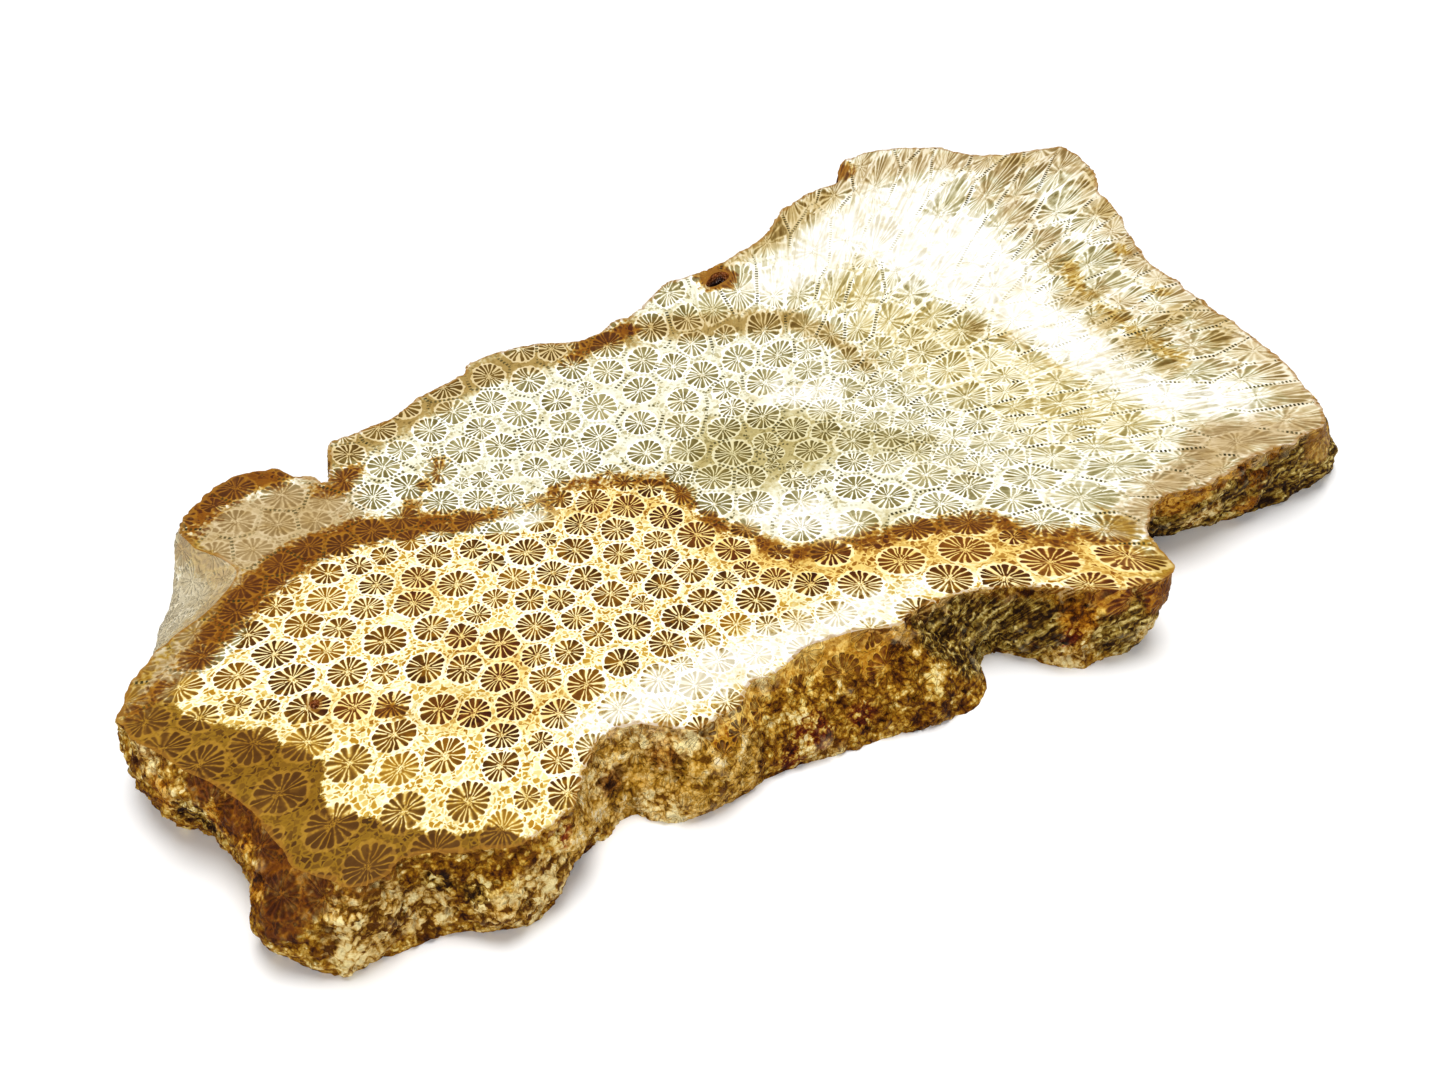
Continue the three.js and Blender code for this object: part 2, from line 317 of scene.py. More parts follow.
class GroupBench(Bench):
    """A bench inside a new shader node group."""

    def __init__(self, name: str, takes: dict[str, float | None], gives: dict[str, Plug]) -> None:
        """Makes the group and its sockets.

        Args:
            name: the group's name.
            takes: its inputs: a number's usual value, or None for a vector.
            gives: its outputs, each with the kind of its socket.
        """
        super().__init__(bpy.data.node_groups.new(name, "ShaderNodeTree"))
        sockets = self.tree.interface
        for label, usual in takes.items():
            kind = Plug.VECTOR if usual is None else Plug.NUMBER
            made = sockets.new_socket(name=label, in_out="INPUT", socket_type=kind)
            if usual is not None:
                made.default_value = usual
        for label, kind in gives.items():
            sockets.new_socket(name=label, in_out="OUTPUT", socket_type=kind)
        self.taken = Placed(self, self.tree.nodes.new("NodeGroupInput"))
        self.given = self.tree.nodes.new("NodeGroupOutput")

    def give(self, **values: Signal) -> None:
        """Links signals to the group's outputs."""
        self.feed(self.given, values)


class MaterialBench(Bench):
    """A bench inside a new material with a Principled shader."""

    def __init__(self, name: str) -> None:
        """Makes the material.

        Args:
            name: the material's name.
        """
        self.material = bpy.data.materials.new(name)
        self.material.use_nodes = True
        super().__init__(self.material.node_tree)
        self.shader = self.tree.nodes["Principled BSDF"]

    def shade(self, colour: object, roughness: object, shine: float = 0.5) -> None:
        """Sets the colour of the surface, how rough it is and how much it shines."""
        plugs = {"Base Color": colour, "Roughness": roughness, "Specular IOR Level": shine}
        self.feed(self.shader, plugs)

    def bump(self, height: Signal, distance: float, strength: float) -> None:
        """Shades fine relief: its height, what a height of 1 is in millimetres, and how strongly."""
        feeds = {"Strength": strength, "Distance": distance * MM, "Height": height}
        self.feed(self.shader, {"Normal": self.place("Bump", feeds)[0]})


# ---------------- plane geometry


def smooth_step(values: np.ndarray, low: float, high: float) -> np.ndarray:
    """A soft step from 0 at low to 1 at high."""
    share = np.clip((values - low) / (high - low), 0, 1)
    return share * share * (3 - 2 * share)


def segment_distance(points: np.ndarray, path: np.ndarray, widths: np.ndarray) -> np.ndarray:
    """How far inside a stroke of changing width each point lies.

    Args:
        points: places, one row each.
        path: corners of the stroke's middle line.
        widths: half the stroke's width at each corner.

    Returns:
        Depth inside the stroke, below 0 outside it.
    """
    inside = np.full(len(points), -np.inf)
    for start, end, wide, narrow in zip(path[:-1], path[1:], widths[:-1], widths[1:]):
        along = end - start
        share = np.clip((points - start) @ along / max(along @ along, 1e-12), 0, 1)
        away = np.linalg.norm(points - start - share[:, None] * along, axis=1)
        inside = np.maximum(inside, wide + share * (narrow - wide) - away)
    return inside


def encloses(points: np.ndarray, starts: np.ndarray, ends: np.ndarray) -> np.ndarray:
    """Which points lie inside closed outlines, by counting the sides that a ray crosses.

    Args:
        points: places, one row each.
        starts: where each side starts.
        ends: where each side ends.

    Returns:
        True where a point lies inside.
    """
    found = np.zeros(len(points), bool)
    rise = ends[:, 1] - starts[:, 1]
    rise = np.where(np.abs(rise) < 1e-12, 1e-12, rise)
    for first in range(0, len(points), 2048):
        span = slice(first, first + 2048)
        x, y = points[span, :1], points[span, 1:]
        spans = (starts[:, 1] > y) != (ends[:, 1] > y)
        at = starts[:, 0] + (y - starts[:, 1]) / rise * (ends[:, 0] - starts[:, 0])
        found[span] = (spans & (x < at)).sum(axis=1) % 2 == 1
    return found


def tree_of(points: np.ndarray) -> kdtree.KDTree:
    """A search tree over level points.

    Args:
        points: places, one row each.

    Returns:
        The tree, which numbers them by row.
    """
    tree = kdtree.KDTree(len(points))
    for index, (x, y) in enumerate(points):
        tree.insert((x, y, 0), index)
    tree.balance()
    return tree


def clearance(points: np.ndarray, tree: kdtree.KDTree) -> np.ndarray:
    """How far each point is from the nearest one in a search tree."""
    return np.array([tree.find((x, y, 0))[2] for x, y in points])


# ---------------- the colony


@dataclass
class Colony:
    """The coral's tubes, by the corallites that they show at the level of the polished face.

    Lengths are in millimetres. A corallite has a seed, its middle, and a frame of its own in which
    its slanting cut is a circle again: one way across the lean of its tube, and the other along it.
    """

    thickness: float
    pitch: float = 5.45  # spacing of the corallites across their tubes
    full_radius: tuple[float, float] = (2.55, 2.95)
    bud_radius: tuple[float, float] = (1.3, 2.0)
    bud_share: float = 0.07
    middle: tuple[float, float] = (-35.3, 2.2)  # where the tubes stand upright
    spread: float = 62.0  # this far from the middle a tube leans by half a right angle
    fan_middle: tuple[float, float] = (1.0, 0.5)  # what the tubes of the right end fan out from
    fan_spread: float = 32.0
    fan_back: tuple[float, float] = (0.0, 28.0)  # towards the back the fan's tubes lean twice as far
    most_lean: float = 5.5  # the lean levels off towards this
    fan_reach: tuple[float, float] = (-5.0, 42.0)  # where along X the fan takes over
    field_low: tuple[float, float] = (-106.0, -70.0)
    field_high: tuple[float, float] = (142.0, 72.0)
    rounds: int = 9  # rounds of spreading the seeds evenly
    samples: int = 30  # points each seed is spread over
    trials: int = 20000  # points that the area of the field is judged by
    packing: float = 0.84  # ground that one corallite takes up, in squares of the pitch
    overlap: float = 1.14  # how far neighbours may run into each other
    neighbours: int = 16  # most borders that one cell may have
    part: int = 4096  # points that are looked up at once
    foot_steps: int = 30  # steps in which a tube's foot is closed in on
    seed: int = 20
    seeds: np.ndarray = field(init=False)
    radii: np.ndarray = field(init=False)
    along: np.ndarray = field(init=False)
    stretch: np.ndarray = field(init=False)
    chance: np.ndarray = field(init=False)

    def __post_init__(self) -> None:
        """Scatters the seeds, spreads them evenly and sizes the corallites."""
        rng = np.random.default_rng(self.seed)
        low, high = np.array(self.field_low), np.array(self.field_high)
        trial = rng.uniform(low, high, (self.trials, 2))
        level_area = np.prod(high - low) * np.mean(1 / self._stretch_at(trial))
        count = int(level_area / (self.packing * self.pitch**2))
        ground = rng.uniform(low, high, (count * self.samples * 3, 2))
        ground = ground[rng.random(len(ground)) < 1 / self._stretch_at(ground)]
        wanted = rng.uniform(*self.full_radius, count)
        buds = rng.random(count) < self.bud_share
        wanted[buds] = rng.uniform(*self.bud_radius, buds.sum())
        self.radii = wanted
        self._settle(ground[:count].copy())
        for _ in range(self.rounds):
            owner = self.cell_of(ground)[:, 0]
            shares = np.maximum(np.bincount(owner, minlength=count), 1)
            centres = [np.bincount(owner, ground[:, axis], count) / shares for axis in (0, 1)]
            self._settle(np.stack(centres, axis=1))
        self.radii = self._fitting_radii(wanted)
        self.chance = rng.random((count, 4))

    def lean(self, points: np.ndarray) -> np.ndarray:
        """Sideways run of the tubes for each millimetre of height.

        Args:
            points: places at the level of the polished face.

        Returns:
            One row for each place.
        """
        share = self.fan_share(points)[:, None]
        upright = (points - np.array(self.middle)) / self.spread
        fan = (points - np.array(self.fan_middle)) / self.fan_spread
        fan = fan * (1 + smooth_step(points[:, 1:], *self.fan_back))
        lean = upright * (1 - share) + fan * share
        return lean / np.sqrt(1 + (lean**2).sum(axis=1) / self.most_lean**2)[:, None]

    def fan_share(self, points: np.ndarray) -> np.ndarray:
        """How far each point belongs to the fan of the right end."""
        return smooth_step(points[:, 0], *self.fan_reach)

    def _stretch_at(self, points: np.ndarray) -> np.ndarray:
        """How many times longer than wide the level cut through a tube is."""
        return np.sqrt(1 + (self.lean(points) ** 2).sum(axis=1))

    def _settle(self, seeds: np.ndarray) -> None:
        """Puts the seeds in place and works out the frame of each.

        Args:
            seeds: the middles of the corallites.
        """
        self.seeds = seeds
        self.stretch = self._stretch_at(seeds)
        lean = self.lean(seeds)
        self.along = lean / np.maximum(np.linalg.norm(lean, axis=1), 1e-6)[:, None]

    def _fitting_radii(self, wanted: np.ndarray) -> np.ndarray:
        """The wanted radii, made smaller where neighbours would overlap.

        Args:
            wanted: one radius for each corallite.

        Returns:
            The radii that fit.
        """
        metric = self._metric(np.arange(len(self.seeds)))
        apart = self.seeds[None] - self.seeds[:, None]
        shared = (metric[None] + metric[:, None]) / 2
        gap = np.sqrt(np.einsum("ijk,ijkl,ijl->ij", apart, shared, apart))
        np.fill_diagonal(gap, np.inf)
        room = gap * wanted[:, None] / (wanted[:, None] + wanted[None])
        return np.minimum(wanted, room.min(axis=1) * self.overlap)

    def _ways(self, cells: np.ndarray) -> tuple[np.ndarray, np.ndarray]:
        """The two ways of the round frame of each corallite: along its lean, and across it."""
        along = self.along[cells]
        return along / self.stretch[cells][:, None], np.stack([-along[:, 1], along[:, 0]], axis=1)

    def _metric(self, cells: np.ndarray) -> np.ndarray:
        """The matrix that measures squared distance in the frame of each corallite."""
        along, across = (np.einsum("ni,nj->nij", way, way) for way in self._ways(cells))
        return along + across

    def local(self, points: np.ndarray, cells: np.ndarray) -> np.ndarray:
        """Places in the round frames of the corallites named.

        Args:
            points: places at the level of the polished face.
            cells: the corallite for each of them.

        Returns:
            How far along the lean and across it each place lies from the seed.
        """
        away = points - self.seeds[cells]
        along = self.along[cells]
        forward = (away * along).sum(axis=1) / self.stretch[cells]
        sideways = away[:, 1] * along[:, 0] - away[:, 0] * along[:, 1]
        return np.stack([forward, sideways], axis=1)

    def cell_of(self, points: np.ndarray, runners: int = 0) -> np.ndarray:
        """The corallite that each point belongs to.

        Args:
            points: places at the level of the polished face.
            runners: how many of the next nearest are wanted as well.

        Returns:
            One row for each point: the owner, and then the next nearest.
        """
        ways = [way.astype(np.float32) for way in self._ways(np.arange(len(self.seeds)))]
        zeros = [(way * self.seeds).sum(axis=1).astype(np.float32) for way in ways]
        power = (self.radii**2).astype(np.float32)
        found = np.empty((len(points), runners + 1), int)
        for first in range(0, len(points), self.part):
            span = slice(first, first + self.part)
            part = points[span].astype(np.float32)
            far = sum((part @ way.T - zero) ** 2 for way, zero in zip(ways, zeros)) - power
            if runners:
                near = np.argpartition(far, runners, axis=1)[:, : runners + 1]
                order = np.argsort(np.take_along_axis(far, near, axis=1), axis=1)
                found[span] = np.take_along_axis(near, order, axis=1)
            else:
                found[span, 0] = far.argmin(axis=1)
        return found

    def border(self, first: np.ndarray, second: np.ndarray) -> tuple[np.ndarray, np.ndarray]:
        """The straight borders between pairs of corallites.

        Args:
            first: corallites.
            second: their neighbours.

        Returns:
            A normal that points from the first to the second, and its limit: a point belongs to the
            first where normal · point is below the limit.
        """
        shared = (self._metric(first) + self._metric(second)) / 2
        one, two = self.seeds[first], self.seeds[second]
        normal = 2 * np.einsum("nij,nj->ni", shared, two - one)
        limit = np.einsum("ni,nij,nj->n", two, shared, two)
        limit -= np.einsum("ni,nij,nj->n", one, shared, one)
        limit += self.radii[first] ** 2 - self.radii[second] ** 2
        return normal, limit

    def local_steepness(self, normal: np.ndarray, cells: np.ndarray) -> np.ndarray:
        """The length of a border's normal, measured in the round frame of a corallite.

        Args:
            normal: the normals, one row each.
            cells: the corallite for each of them.

        Returns:
            One length for each normal.
        """
        forward = (normal * self.along[cells]).sum(axis=1) * self.stretch[cells]
        sideways = normal[:, 1] * self.along[cells, 0] - normal[:, 0] * self.along[cells, 1]
        return np.hypot(forward, sideways)

    def to_top(self, points: np.ndarray, height: np.ndarray) -> np.ndarray:
        """Follows the tubes from points at some height up to the polished face."""
        return points + (self.thickness - height)[:, None] * self.lean(points)

    def to_foot(self, points: np.ndarray) -> np.ndarray:
        """Follows the tubes from the polished face down to the underside.

        Args:
            points: places at the level of the polished face.

        Returns:
            Where the same tubes come out below.
        """
        foot = points
        for _ in range(self.foot_steps):
            foot = points - self.thickness * self.lean(foot)
        return foot

    def cell_borders(self) -> tuple[np.ndarray, list[Pair]]:
        """The net of straight borders between the corallites.

        Returns:
            The points where three corallites meet, and the pairs of them that a border joins.
        """
        count = len(self.seeds)
        met: dict[tuple[int, ...], list[np.ndarray]] = {}
        joined: set[tuple[tuple[int, ...], tuple[int, ...]]] = set()
        for cell in range(count):
            corners, owners = self._outline(cell)
            sides = zip(owners[-1:] + owners[:-1], owners)
            keys = [tuple(sorted((cell, before, after))) for before, after in sides]
            for index, key in enumerate(keys):
                if key[0] < 0:
                    continue
                met.setdefault(key, []).append(corners[index])
                following = keys[(index + 1) % len(keys)]
                if following[0] >= 0 and following != key:
                    joined.add((min(key, following), max(key, following)))
        names = {key: index for index, key in enumerate(sorted(met))}
        points = np.array([np.mean(met[key], axis=0) for key in sorted(met)])
        return points, [(names[one], names[two]) for one, two in sorted(joined)]

    def _outline(self, cell: int) -> tuple[list[np.ndarray], list[int]]:
        """The corners of one corallite's cell, and the neighbour across each side.

        Args:
            cell: the corallite.

        Returns:
            The corners in order, and for each the neighbour across the side that follows, or -1.
        """
        reach = 4 * self.pitch * self.stretch[cell]
        near = np.linalg.norm(self.local(self.seeds, np.full(len(self.seeds), cell)), axis=1)
        neighbours = np.argsort(near)[1 : self.neighbours + 1]
        normals, limits = self.border(np.full(len(neighbours), cell), neighbours)
        box = np.array([(-1, -1), (1, -1), (1, 1), (-1, 1)], float)
        corners = list(self.seeds[cell] + reach * box)
        owners = [-1, -1, -1, -1]
        for neighbour, normal, limit in zip(neighbours, normals, limits):
            over = [float(normal @ corner - limit) for corner in corners]
            if max(over) <= 0:
                continue
            kept: list[np.ndarray] = []
            sides: list[int] = []
            for index, corner in enumerate(corners):
                after = (index + 1) % len(corners)
                if over[index] <= 0:
                    kept.append(corner)
                    sides.append(owners[index])
                if (over[index] <= 0) != (over[after] <= 0):
                    share = over[index] / (over[index] - over[after])
                    kept.append(corner + share * (corners[after] - corner))
                    sides.append(int(neighbour) if over[index] <= 0 else owners[index])
            corners, owners = kept, sides
        return corners, owners


# ---------------- colours of stone


@dataclass(frozen=True)
class Mineral:
    """What one mineral does to the colours of the coral that it has soaked."""

    name: str
    skeleton: str  # septa and the walls of the corallites
    chamber: str  # the filled spaces between septa
    matrix: str  # the stone between corallites
    patch: str  # darker flecks in that stone
    wander: float  # how far its edge strays, in millimetres
    softness: float  # how softly its edge fades, in millimetres
    strength: float = 1.0

    def depth(self, role: str) -> tuple[float, ...]:
        """The logarithms of the colour of one part of the coral."""
        return depth_of(getattr(self, role.lower()))


PLAIN_STONE = Mineral("plain", "FBFBF8", "6C643A", "E8E6D2", "A89E72", 0, 1)
MINERALS = (
    Mineral("cream", "F6F4E6", "766630", "E2D8AC", "B09854", 3.0, 5.0, 0.9),
    Mineral("olive", "D6CDA4", "584C22", "B0A068", "7E6E38", 2.0, 3.0, 0.95),
    Mineral("haze", "E6DCC4", "7C6434", "C0AC84", "8E7244", 2.6, 2.6, 0.95),
    Mineral("tan", "D2BE90", "60440E", "A08448", "705824", 1.6, 1.6),
    Mineral("smoke", "D4C09C", "664C26", "BEA87E", "8A7046", 2.2, 2.2),
    Mineral("ash", "DCD0B4", "8A7A5C", "B8AC90", "988A6C", 1.4, 1.6),
    Mineral("bronze", "AC8028", "462600", "8A6410", "422400", 2.4, 2.6),
    Mineral("gold", "FCF8E2", "583400", "FCF6D4", "A06C08", 0.6, 0.3),
    Mineral("amber", "F2E2A4", "4C1C00", "E8CA76", "7C4600", 1.4, 2.2),
    Mineral("umber", "A4741C", "401E00", "824C00", "441A00", 1.2, 0.9),
    Mineral("rust", "C8AC64", "5C3A04", "9C741C", "764C04", 1.8, 1.2, 0.9),
    Mineral("chalk", "FAFAF8", "A8A08C", "F6F4EE", "DAD4C4", 2.5, 3.0, 0.92),
)

FAR_INSIDE = 9.0  # depths inside a stain are told apart up to here, in millimetres

Stain = tuple[tuple[float, ...], ...]

# The stains, seen from above. The corners of a patch have x and y, and those of a stroke have x, y and
# half its width. Lengths are in millimetres, in the slab's own frame.
STAINS: dict[str, tuple[Stain, ...]] = {
    # The yellowish field left of the white band.
    "cream": (
        (
            (28, 17), (39, 21), (46, 12), (48.2, 0), (48.4, -14), (49, -20), (52, -29), (44, -31),
            (33, -22), (30, -5),
        ),
        ((36, 24, 5), (45, 27, 3)),
    ),
    # The olive cloud in the middle of the slab, and small clouds round it.
    "olive": (
        (
            (-10.3, 11.2), (-5.3, 13.7), (0.7, 13.2), (5.7, 10.7), (10, 8.2), (14.2, 4.2), (13, -1),
            (8.2, -3.4), (2.6, -3.2), (-2.3, -1.8), (-6.8, 0.6), (-9.8, 4.2),
        ),
        ((-14.2, 6.6, 1.6), (-12.6, 5, 1.8)), ((5.4, -18.6, 0.7), (1.6, -17.8, 0.9)),
        ((14, -4, 2.2), (18, -9, 1.8)), ((18, 30, 2.2), (14, 35, 2.4)),
    ),
    # The grey rim of the right end.
    "haze": (
        ((83.8, 30.5, 1.8), (80.5, 29, 1.6), (77.5, 27.5, 0.6)),
        ((80, 25.6, 1.8), (76.4, 23.2, 2.4), (72.5, 20.6, 1)),
        ((77.6, 20.6, 1.6), (74.5, 18.3, 2.4), (70.5, 15.4, 1.4)),
        ((73.5, 12.5, 1.8), (70.5, 10, 1.4), (67.5, 8.2, 0.4)), ((76.5, 30.2, 1), (73, 27.8, 1.6)),
        ((77.5, 37, 1.6), (82, 34, 2.2), (86, 31.5, 2.4)),
        (
            (47, 46.5, 1.6), (57, 45.5, 2.6), (66, 46, 4.2), (73, 43, 3.8), (78, 38, 3), (84, 31, 4.2),
            (93, 27, 4.6),
        ),
        (
            (94, 25, 3), (88, 14, 3.4), (82, 4, 3.4), (77.5, -8, 3.6), (76, -20, 3.4), (73.6, -33, 3.6),
            (68, -44, 4),
        ),
        ((67.5, -4, 1.4), (69, -12, 1.8), (68, -22, 1.6), (68, -30, 1)),
    ),
    # The translucent brown of the back edge, which swings down to the right, and of the right end.
    "tan": (
        (
            (-46.5, 44.5, 2.6), (-39, 44.8, 2.6), (-29, 45.2, 2.4), (-20, 46.2, 3), (-11.5, 43.6, 3),
            (-4, 40.4, 2.6), (5, 38.6, 2.6), (9.5, 35.4, 2.6), (16, 30.6, 2.7), (21, 27.4, 2.7),
            (24.8, 24.4, 2.2), (26.4, 19.5, 1.7), (26.6, 13, 1.4), (25.6, 8.2, 1.2),
        ),
        ((24, 42, 2), (31, 42.5, 1.4), (38, 43.5, 2.4), (46, 46, 2.6)),
        ((37, 41, 1.6), (44, 43.6, 2.6), (52, 45.6, 2.4)), ((83.6, 33, 1.2), (87, 30.4, 1.4)),
        ((92.4, 19.8, 1.2), (90.4, 17.4, 1.4)), ((88.6, 12.6, 1), (85.6, 10.4, 1.4)),
        ((74.8, -15.2, 1), (71, -15.4, 1.6), (67.4, -16, 0.4)),
        ((75.8, -21.4, 1), (72.6, -22.6, 1.6), (69, -24, 0.4)), ((69, 6.2, 1.6), (66, 4.4, 1)),
        ((65.4, -3, 1.8), (62, -1.6, 2.4), (58.6, 0.4, 0.8)),
        ((64, -9.4, 1.8), (60.6, -9, 2.4), (57.2, -8, 0.8)),
        ((63.5, -16.2, 2), (60, -15.6, 2.6), (56.6, -15, 0.8)), ((62.4, -22.4, 1.6), (59, -22.8, 1.6)),
        ((45.4, 3.4, 1.8),),
    ),
    # The grey of the back left strip and of the lobe, and of the strip before the right end.
    "smoke": (
        (
            (-97, 18), (-90, 27), (-78, 33), (-74, 46), (-62, 47), (-52, 43), (-48.6, 37), (-51, 31),
            (-62, 31), (-71, 28.6), (-79, 24.4), (-84, 20.6), (-90, 17),
        ),
        (
            (24.8, -38.8, 0.8), (27.6, -41, 3), (31, -40.4, 2.4), (36, -38.8, 1.8), (45, -40, 3.4),
            (52, -38.6, 4.2), (58, -41, 3.6), (64, -44, 2.4),
        ),
    ),
    # The chip of the back left lobe.
    "ash": (
        ((-84, 31, 4), (-78, 37, 5), (-73, 40, 2)),
    ),
    # The brown border between the gold field and the left edge.
    "bronze": (
        ((-100, 22), (-84, 20), (-74, 0), (-66, -20), (-56, -28), (-66, -40), (-100, -30), (-104, 0)),
    ),
    # The gold field of the left and front, and the tongue that runs down the right lobe.
    "gold": (
        (
            (-87.2, 19.8), (-84.8, 21.3), (-79.2, 20.4), (-74, 23.4), (-70.6, 26.2), (-67.2, 26.8),
            (-57, 28), (-52.3, 26.2), (-47.9, 22.8), (-42.2, 19.2), (-37.4, 15.2), (-32.4, 13.6),
            (-29.8, 15.2), (-26, 17.2), (-19.8, 14), (-14.6, 10), (-13.8, 6), (-15.2, 0.2), (-14.6, -3),
            (-12, -6), (-11.8, -10.5), (-12.4, -13.2), (-9, -14.8), (-4.2, -17.2), (2.2, -19.8),
            (8.4, -23.4), (13.4, -27.2), (15.6, -28.4), (15.8, -30.2), (16.5, -32.4), (17.4, -34.4),
            (18.3, -36.4), (20.2, -37.4), (22, -37.9), (23.4, -40.5), (24.6, -42.2), (25.7, -43.9),
            (25.4, -46), (27, -51), (21, -62), (-20, -62), (-60, -46), (-65.4, -30), (-67.8, -24),
            (-72.9, -21), (-76.9, -16), (-78.6, -12), (-82.6, -9.2), (-80.8, -6), (-78, -2),
            (-80.3, 3.9), (-82.6, 9), (-87.1, 14.7),
        ),
    ),
    # The right of the gold field, and its ochre corallites.
    "amber": (
        (
            (-28, 12, 1.5), (-22, 10, 2.5), (-18, 4, 2), (-17.5, -4, 2), (-15, -12, 3), (-8, -19, 3.4),
            (2, -24, 4), (10, -29, 5), (15, -36, 4.4), (20, -42, 4.4), (21, -48, 4.6),
        ),
        ((-52.4, 14.1, 3),), ((-51, -2.9, 3.1), (-54, -6.8, 2)), ((-54.1, 2.2, 2.4),),
        ((-62, -6, 2.6), (-56, -12, 2), (-48, -14, 1.6)), ((-72, 4, 2.4), (-68, 0, 1.6)),
    ),
    # Brown lines along the top and down the right of the gold field, and brown spots of the rim.
    "umber": (
        (
            (-81.6, 22.6, 1), (-77, 25.6, 2.2), (-71, 28.8, 2.8), (-62, 30.8, 2.9), (-54, 29.6, 2.6),
            (-47.6, 26.2, 2.4), (-42.6, 22.6, 2), (-38.6, 20.2, 1.3), (-34.4, 18.8, 0.8),
            (-31, 17.2, 0.7),
        ),
        (
            (-30.6, 14.2, 0.7), (-29.6, 16.2, 0.8), (-26, 17.6, 0.9), (-19.8, 14.2, 1), (-14.8, 10, 1),
            (-13.7, 6, 0.8), (-15, 1, 0.7), (-14.2, -3.4, 1), (-11.9, -6.8, 1.1), (-11.9, -11.8, 1.2),
            (-10.4, -14.3, 1.2), (-4.3, -17.2, 1.2), (2.2, -19.8, 1.3), (8.7, -23.3, 1.4),
            (13.4, -26.6, 1.4), (15.6, -27.6, 1.2), (16.1, -30.1, 1.1), (16.7, -32.2, 1),
            (17.6, -34, 1.1), (18.3, -35.8, 1.3), (20.1, -36.8, 1.2), (22, -37.1, 1),
            (23.3, -37.1, 0.7),
        ),
        ((22.4, -38.4, 0.6), (23.3, -40.2, 0.4), (24.4, -41.7, 0.4), (25.5, -43.3, 0.3)),
        ((-46, 27.5, 1.2), (-42.5, 29.8, 0.6), (-36, 33.3, 0.8)),
        ((-71, 44, 1), (-66, 48.4, 2.6), (-59.5, 49.6, 3.4), (-55, 46.6, 2.2)),
        ((-53, 40.2, 0.8), (-50.4, 38.6, 1.6), (-46.6, 40, 1.5)),
        ((-8.5, 39.6, 0.6), (-3, 40.4, 1.6), (3.6, 39.8, 1.6), (6, 38, 0.5)), ((23.4, 40.2, 3.2),),
        ((59.5, 49, 1.8), (61.5, 50.2, 1.6)), ((-66.9, -0.9, 1.5),),
        ((-92.6, 20.4, 0.5), (-88.4, 22, 1), (-83.6, 23.8, 0.6), (-79, 25.6, 0.8)),
    ),
    # Rusty lines and spots: the left edge, the tip of the tongue, the row of the right end.
    "rust": (
        ((25.4, -38, 0.9), (27.4, -38.6, 0.9), (28.4, -41.4, 0.8)),
        ((27.8, -43.4, 0.8), (27, -46.6, 1.9), (25.6, -49.4, 2.2), (23.6, -51.4, 1)),
        ((-93.5, 12, 1.2), (-95, 4, 0.8), (-93, -4, 0.9), (-90, -12, 0.7)),
        ((47.8, -0.6, 0.5), (48.4, -1.4, 0.7), (47.8, -4, 0.1), (47.6, -10, 0.3)),
        ((47.6, -10, 0.3), (48, -16.5, 0.4)), ((45.8, 36.4, 0.8),), ((60.6, 35.6, 0.9),),
        (
            (70.4, 5.6, 0.6), (69, 4.4, 1.3), (66.6, 1.4, 1), (65.6, 0.2, 0.4), (65, -3, 0.2),
            (64.6, -6.4, 1.2), (63.9, -9, 0.4), (63.2, -12.6, 1.1), (63.3, -16, 0.5),
            (62.9, -19.6, 1.2), (63.1, -22.4, 0.9),
        ),
        ((47.8, -0.8, 1),), ((78.6, 2, 1),), ((74.8, -9.6, 1.1),), ((78.2, -30, 0.8),),
        ((-72, 43.4, 1), (-71, 37, 0.5), (-71, 33, 0.7), (-77, 29.6, 0.6)),
        ((-91.5, 23.4, 1), (-86, 26.4, 0.7), (-80, 29.4, 0.7), (-74.5, 32.4, 0.6)),
    ),
    # Where the coral is bleached.
    "chalk": (
        (
            (-50, -18.5, 2.4), (-42, -21, 4.2), (-33, -23, 4.6), (-24, -25, 4.4), (-15, -27, 4.2),
            (-7, -28.5, 3), (-2, -29.5, 1.6),
        ),
        ((52, 34, 8), (57, 20, 11), (55, 4, 6.5), (53, -14, 5)),
        ((28, 33, 3), (38, 34, 6), (48, 36, 6), (60, 37, 5)),
        ((53, -14, 4), (54, -27, 3.6), (62, -34, 3)), ((52, 30, 4), (62, 35, 4.4), (72, 36, 2)),
        ((60, 22, 5), (66, 24, 2.4)), ((15.6, 7.6, 2.6), (11, 12.4, 2)),
        ((-9, -6, 2), (-4, -10, 2.6), (-2, -14, 2)), ((-34, 17, 1.4), (-31, 14.6, 0.6)),
    ),
}


class Weather(StrEnum):
    """What a part of the broken edge is like."""

    CLEAN = "edge_clean"  # an ochre break, where the corallites still show
    GLASSY = "edge_glassy"  # a smooth chip in translucent stone
    PALE = "edge_pale"  # coarse cream crystals
    DARK = "edge_dark"  # hollows with black and green crystals
    RED = "edge_red"  # red iron stain
    RUSTY = "edge_rusty"  # orange iron stain
    GREY = "edge_grey"  # grey and khaki, striped along the tubes
    BRIGHT = "edge_bright"  # light yellow ochre


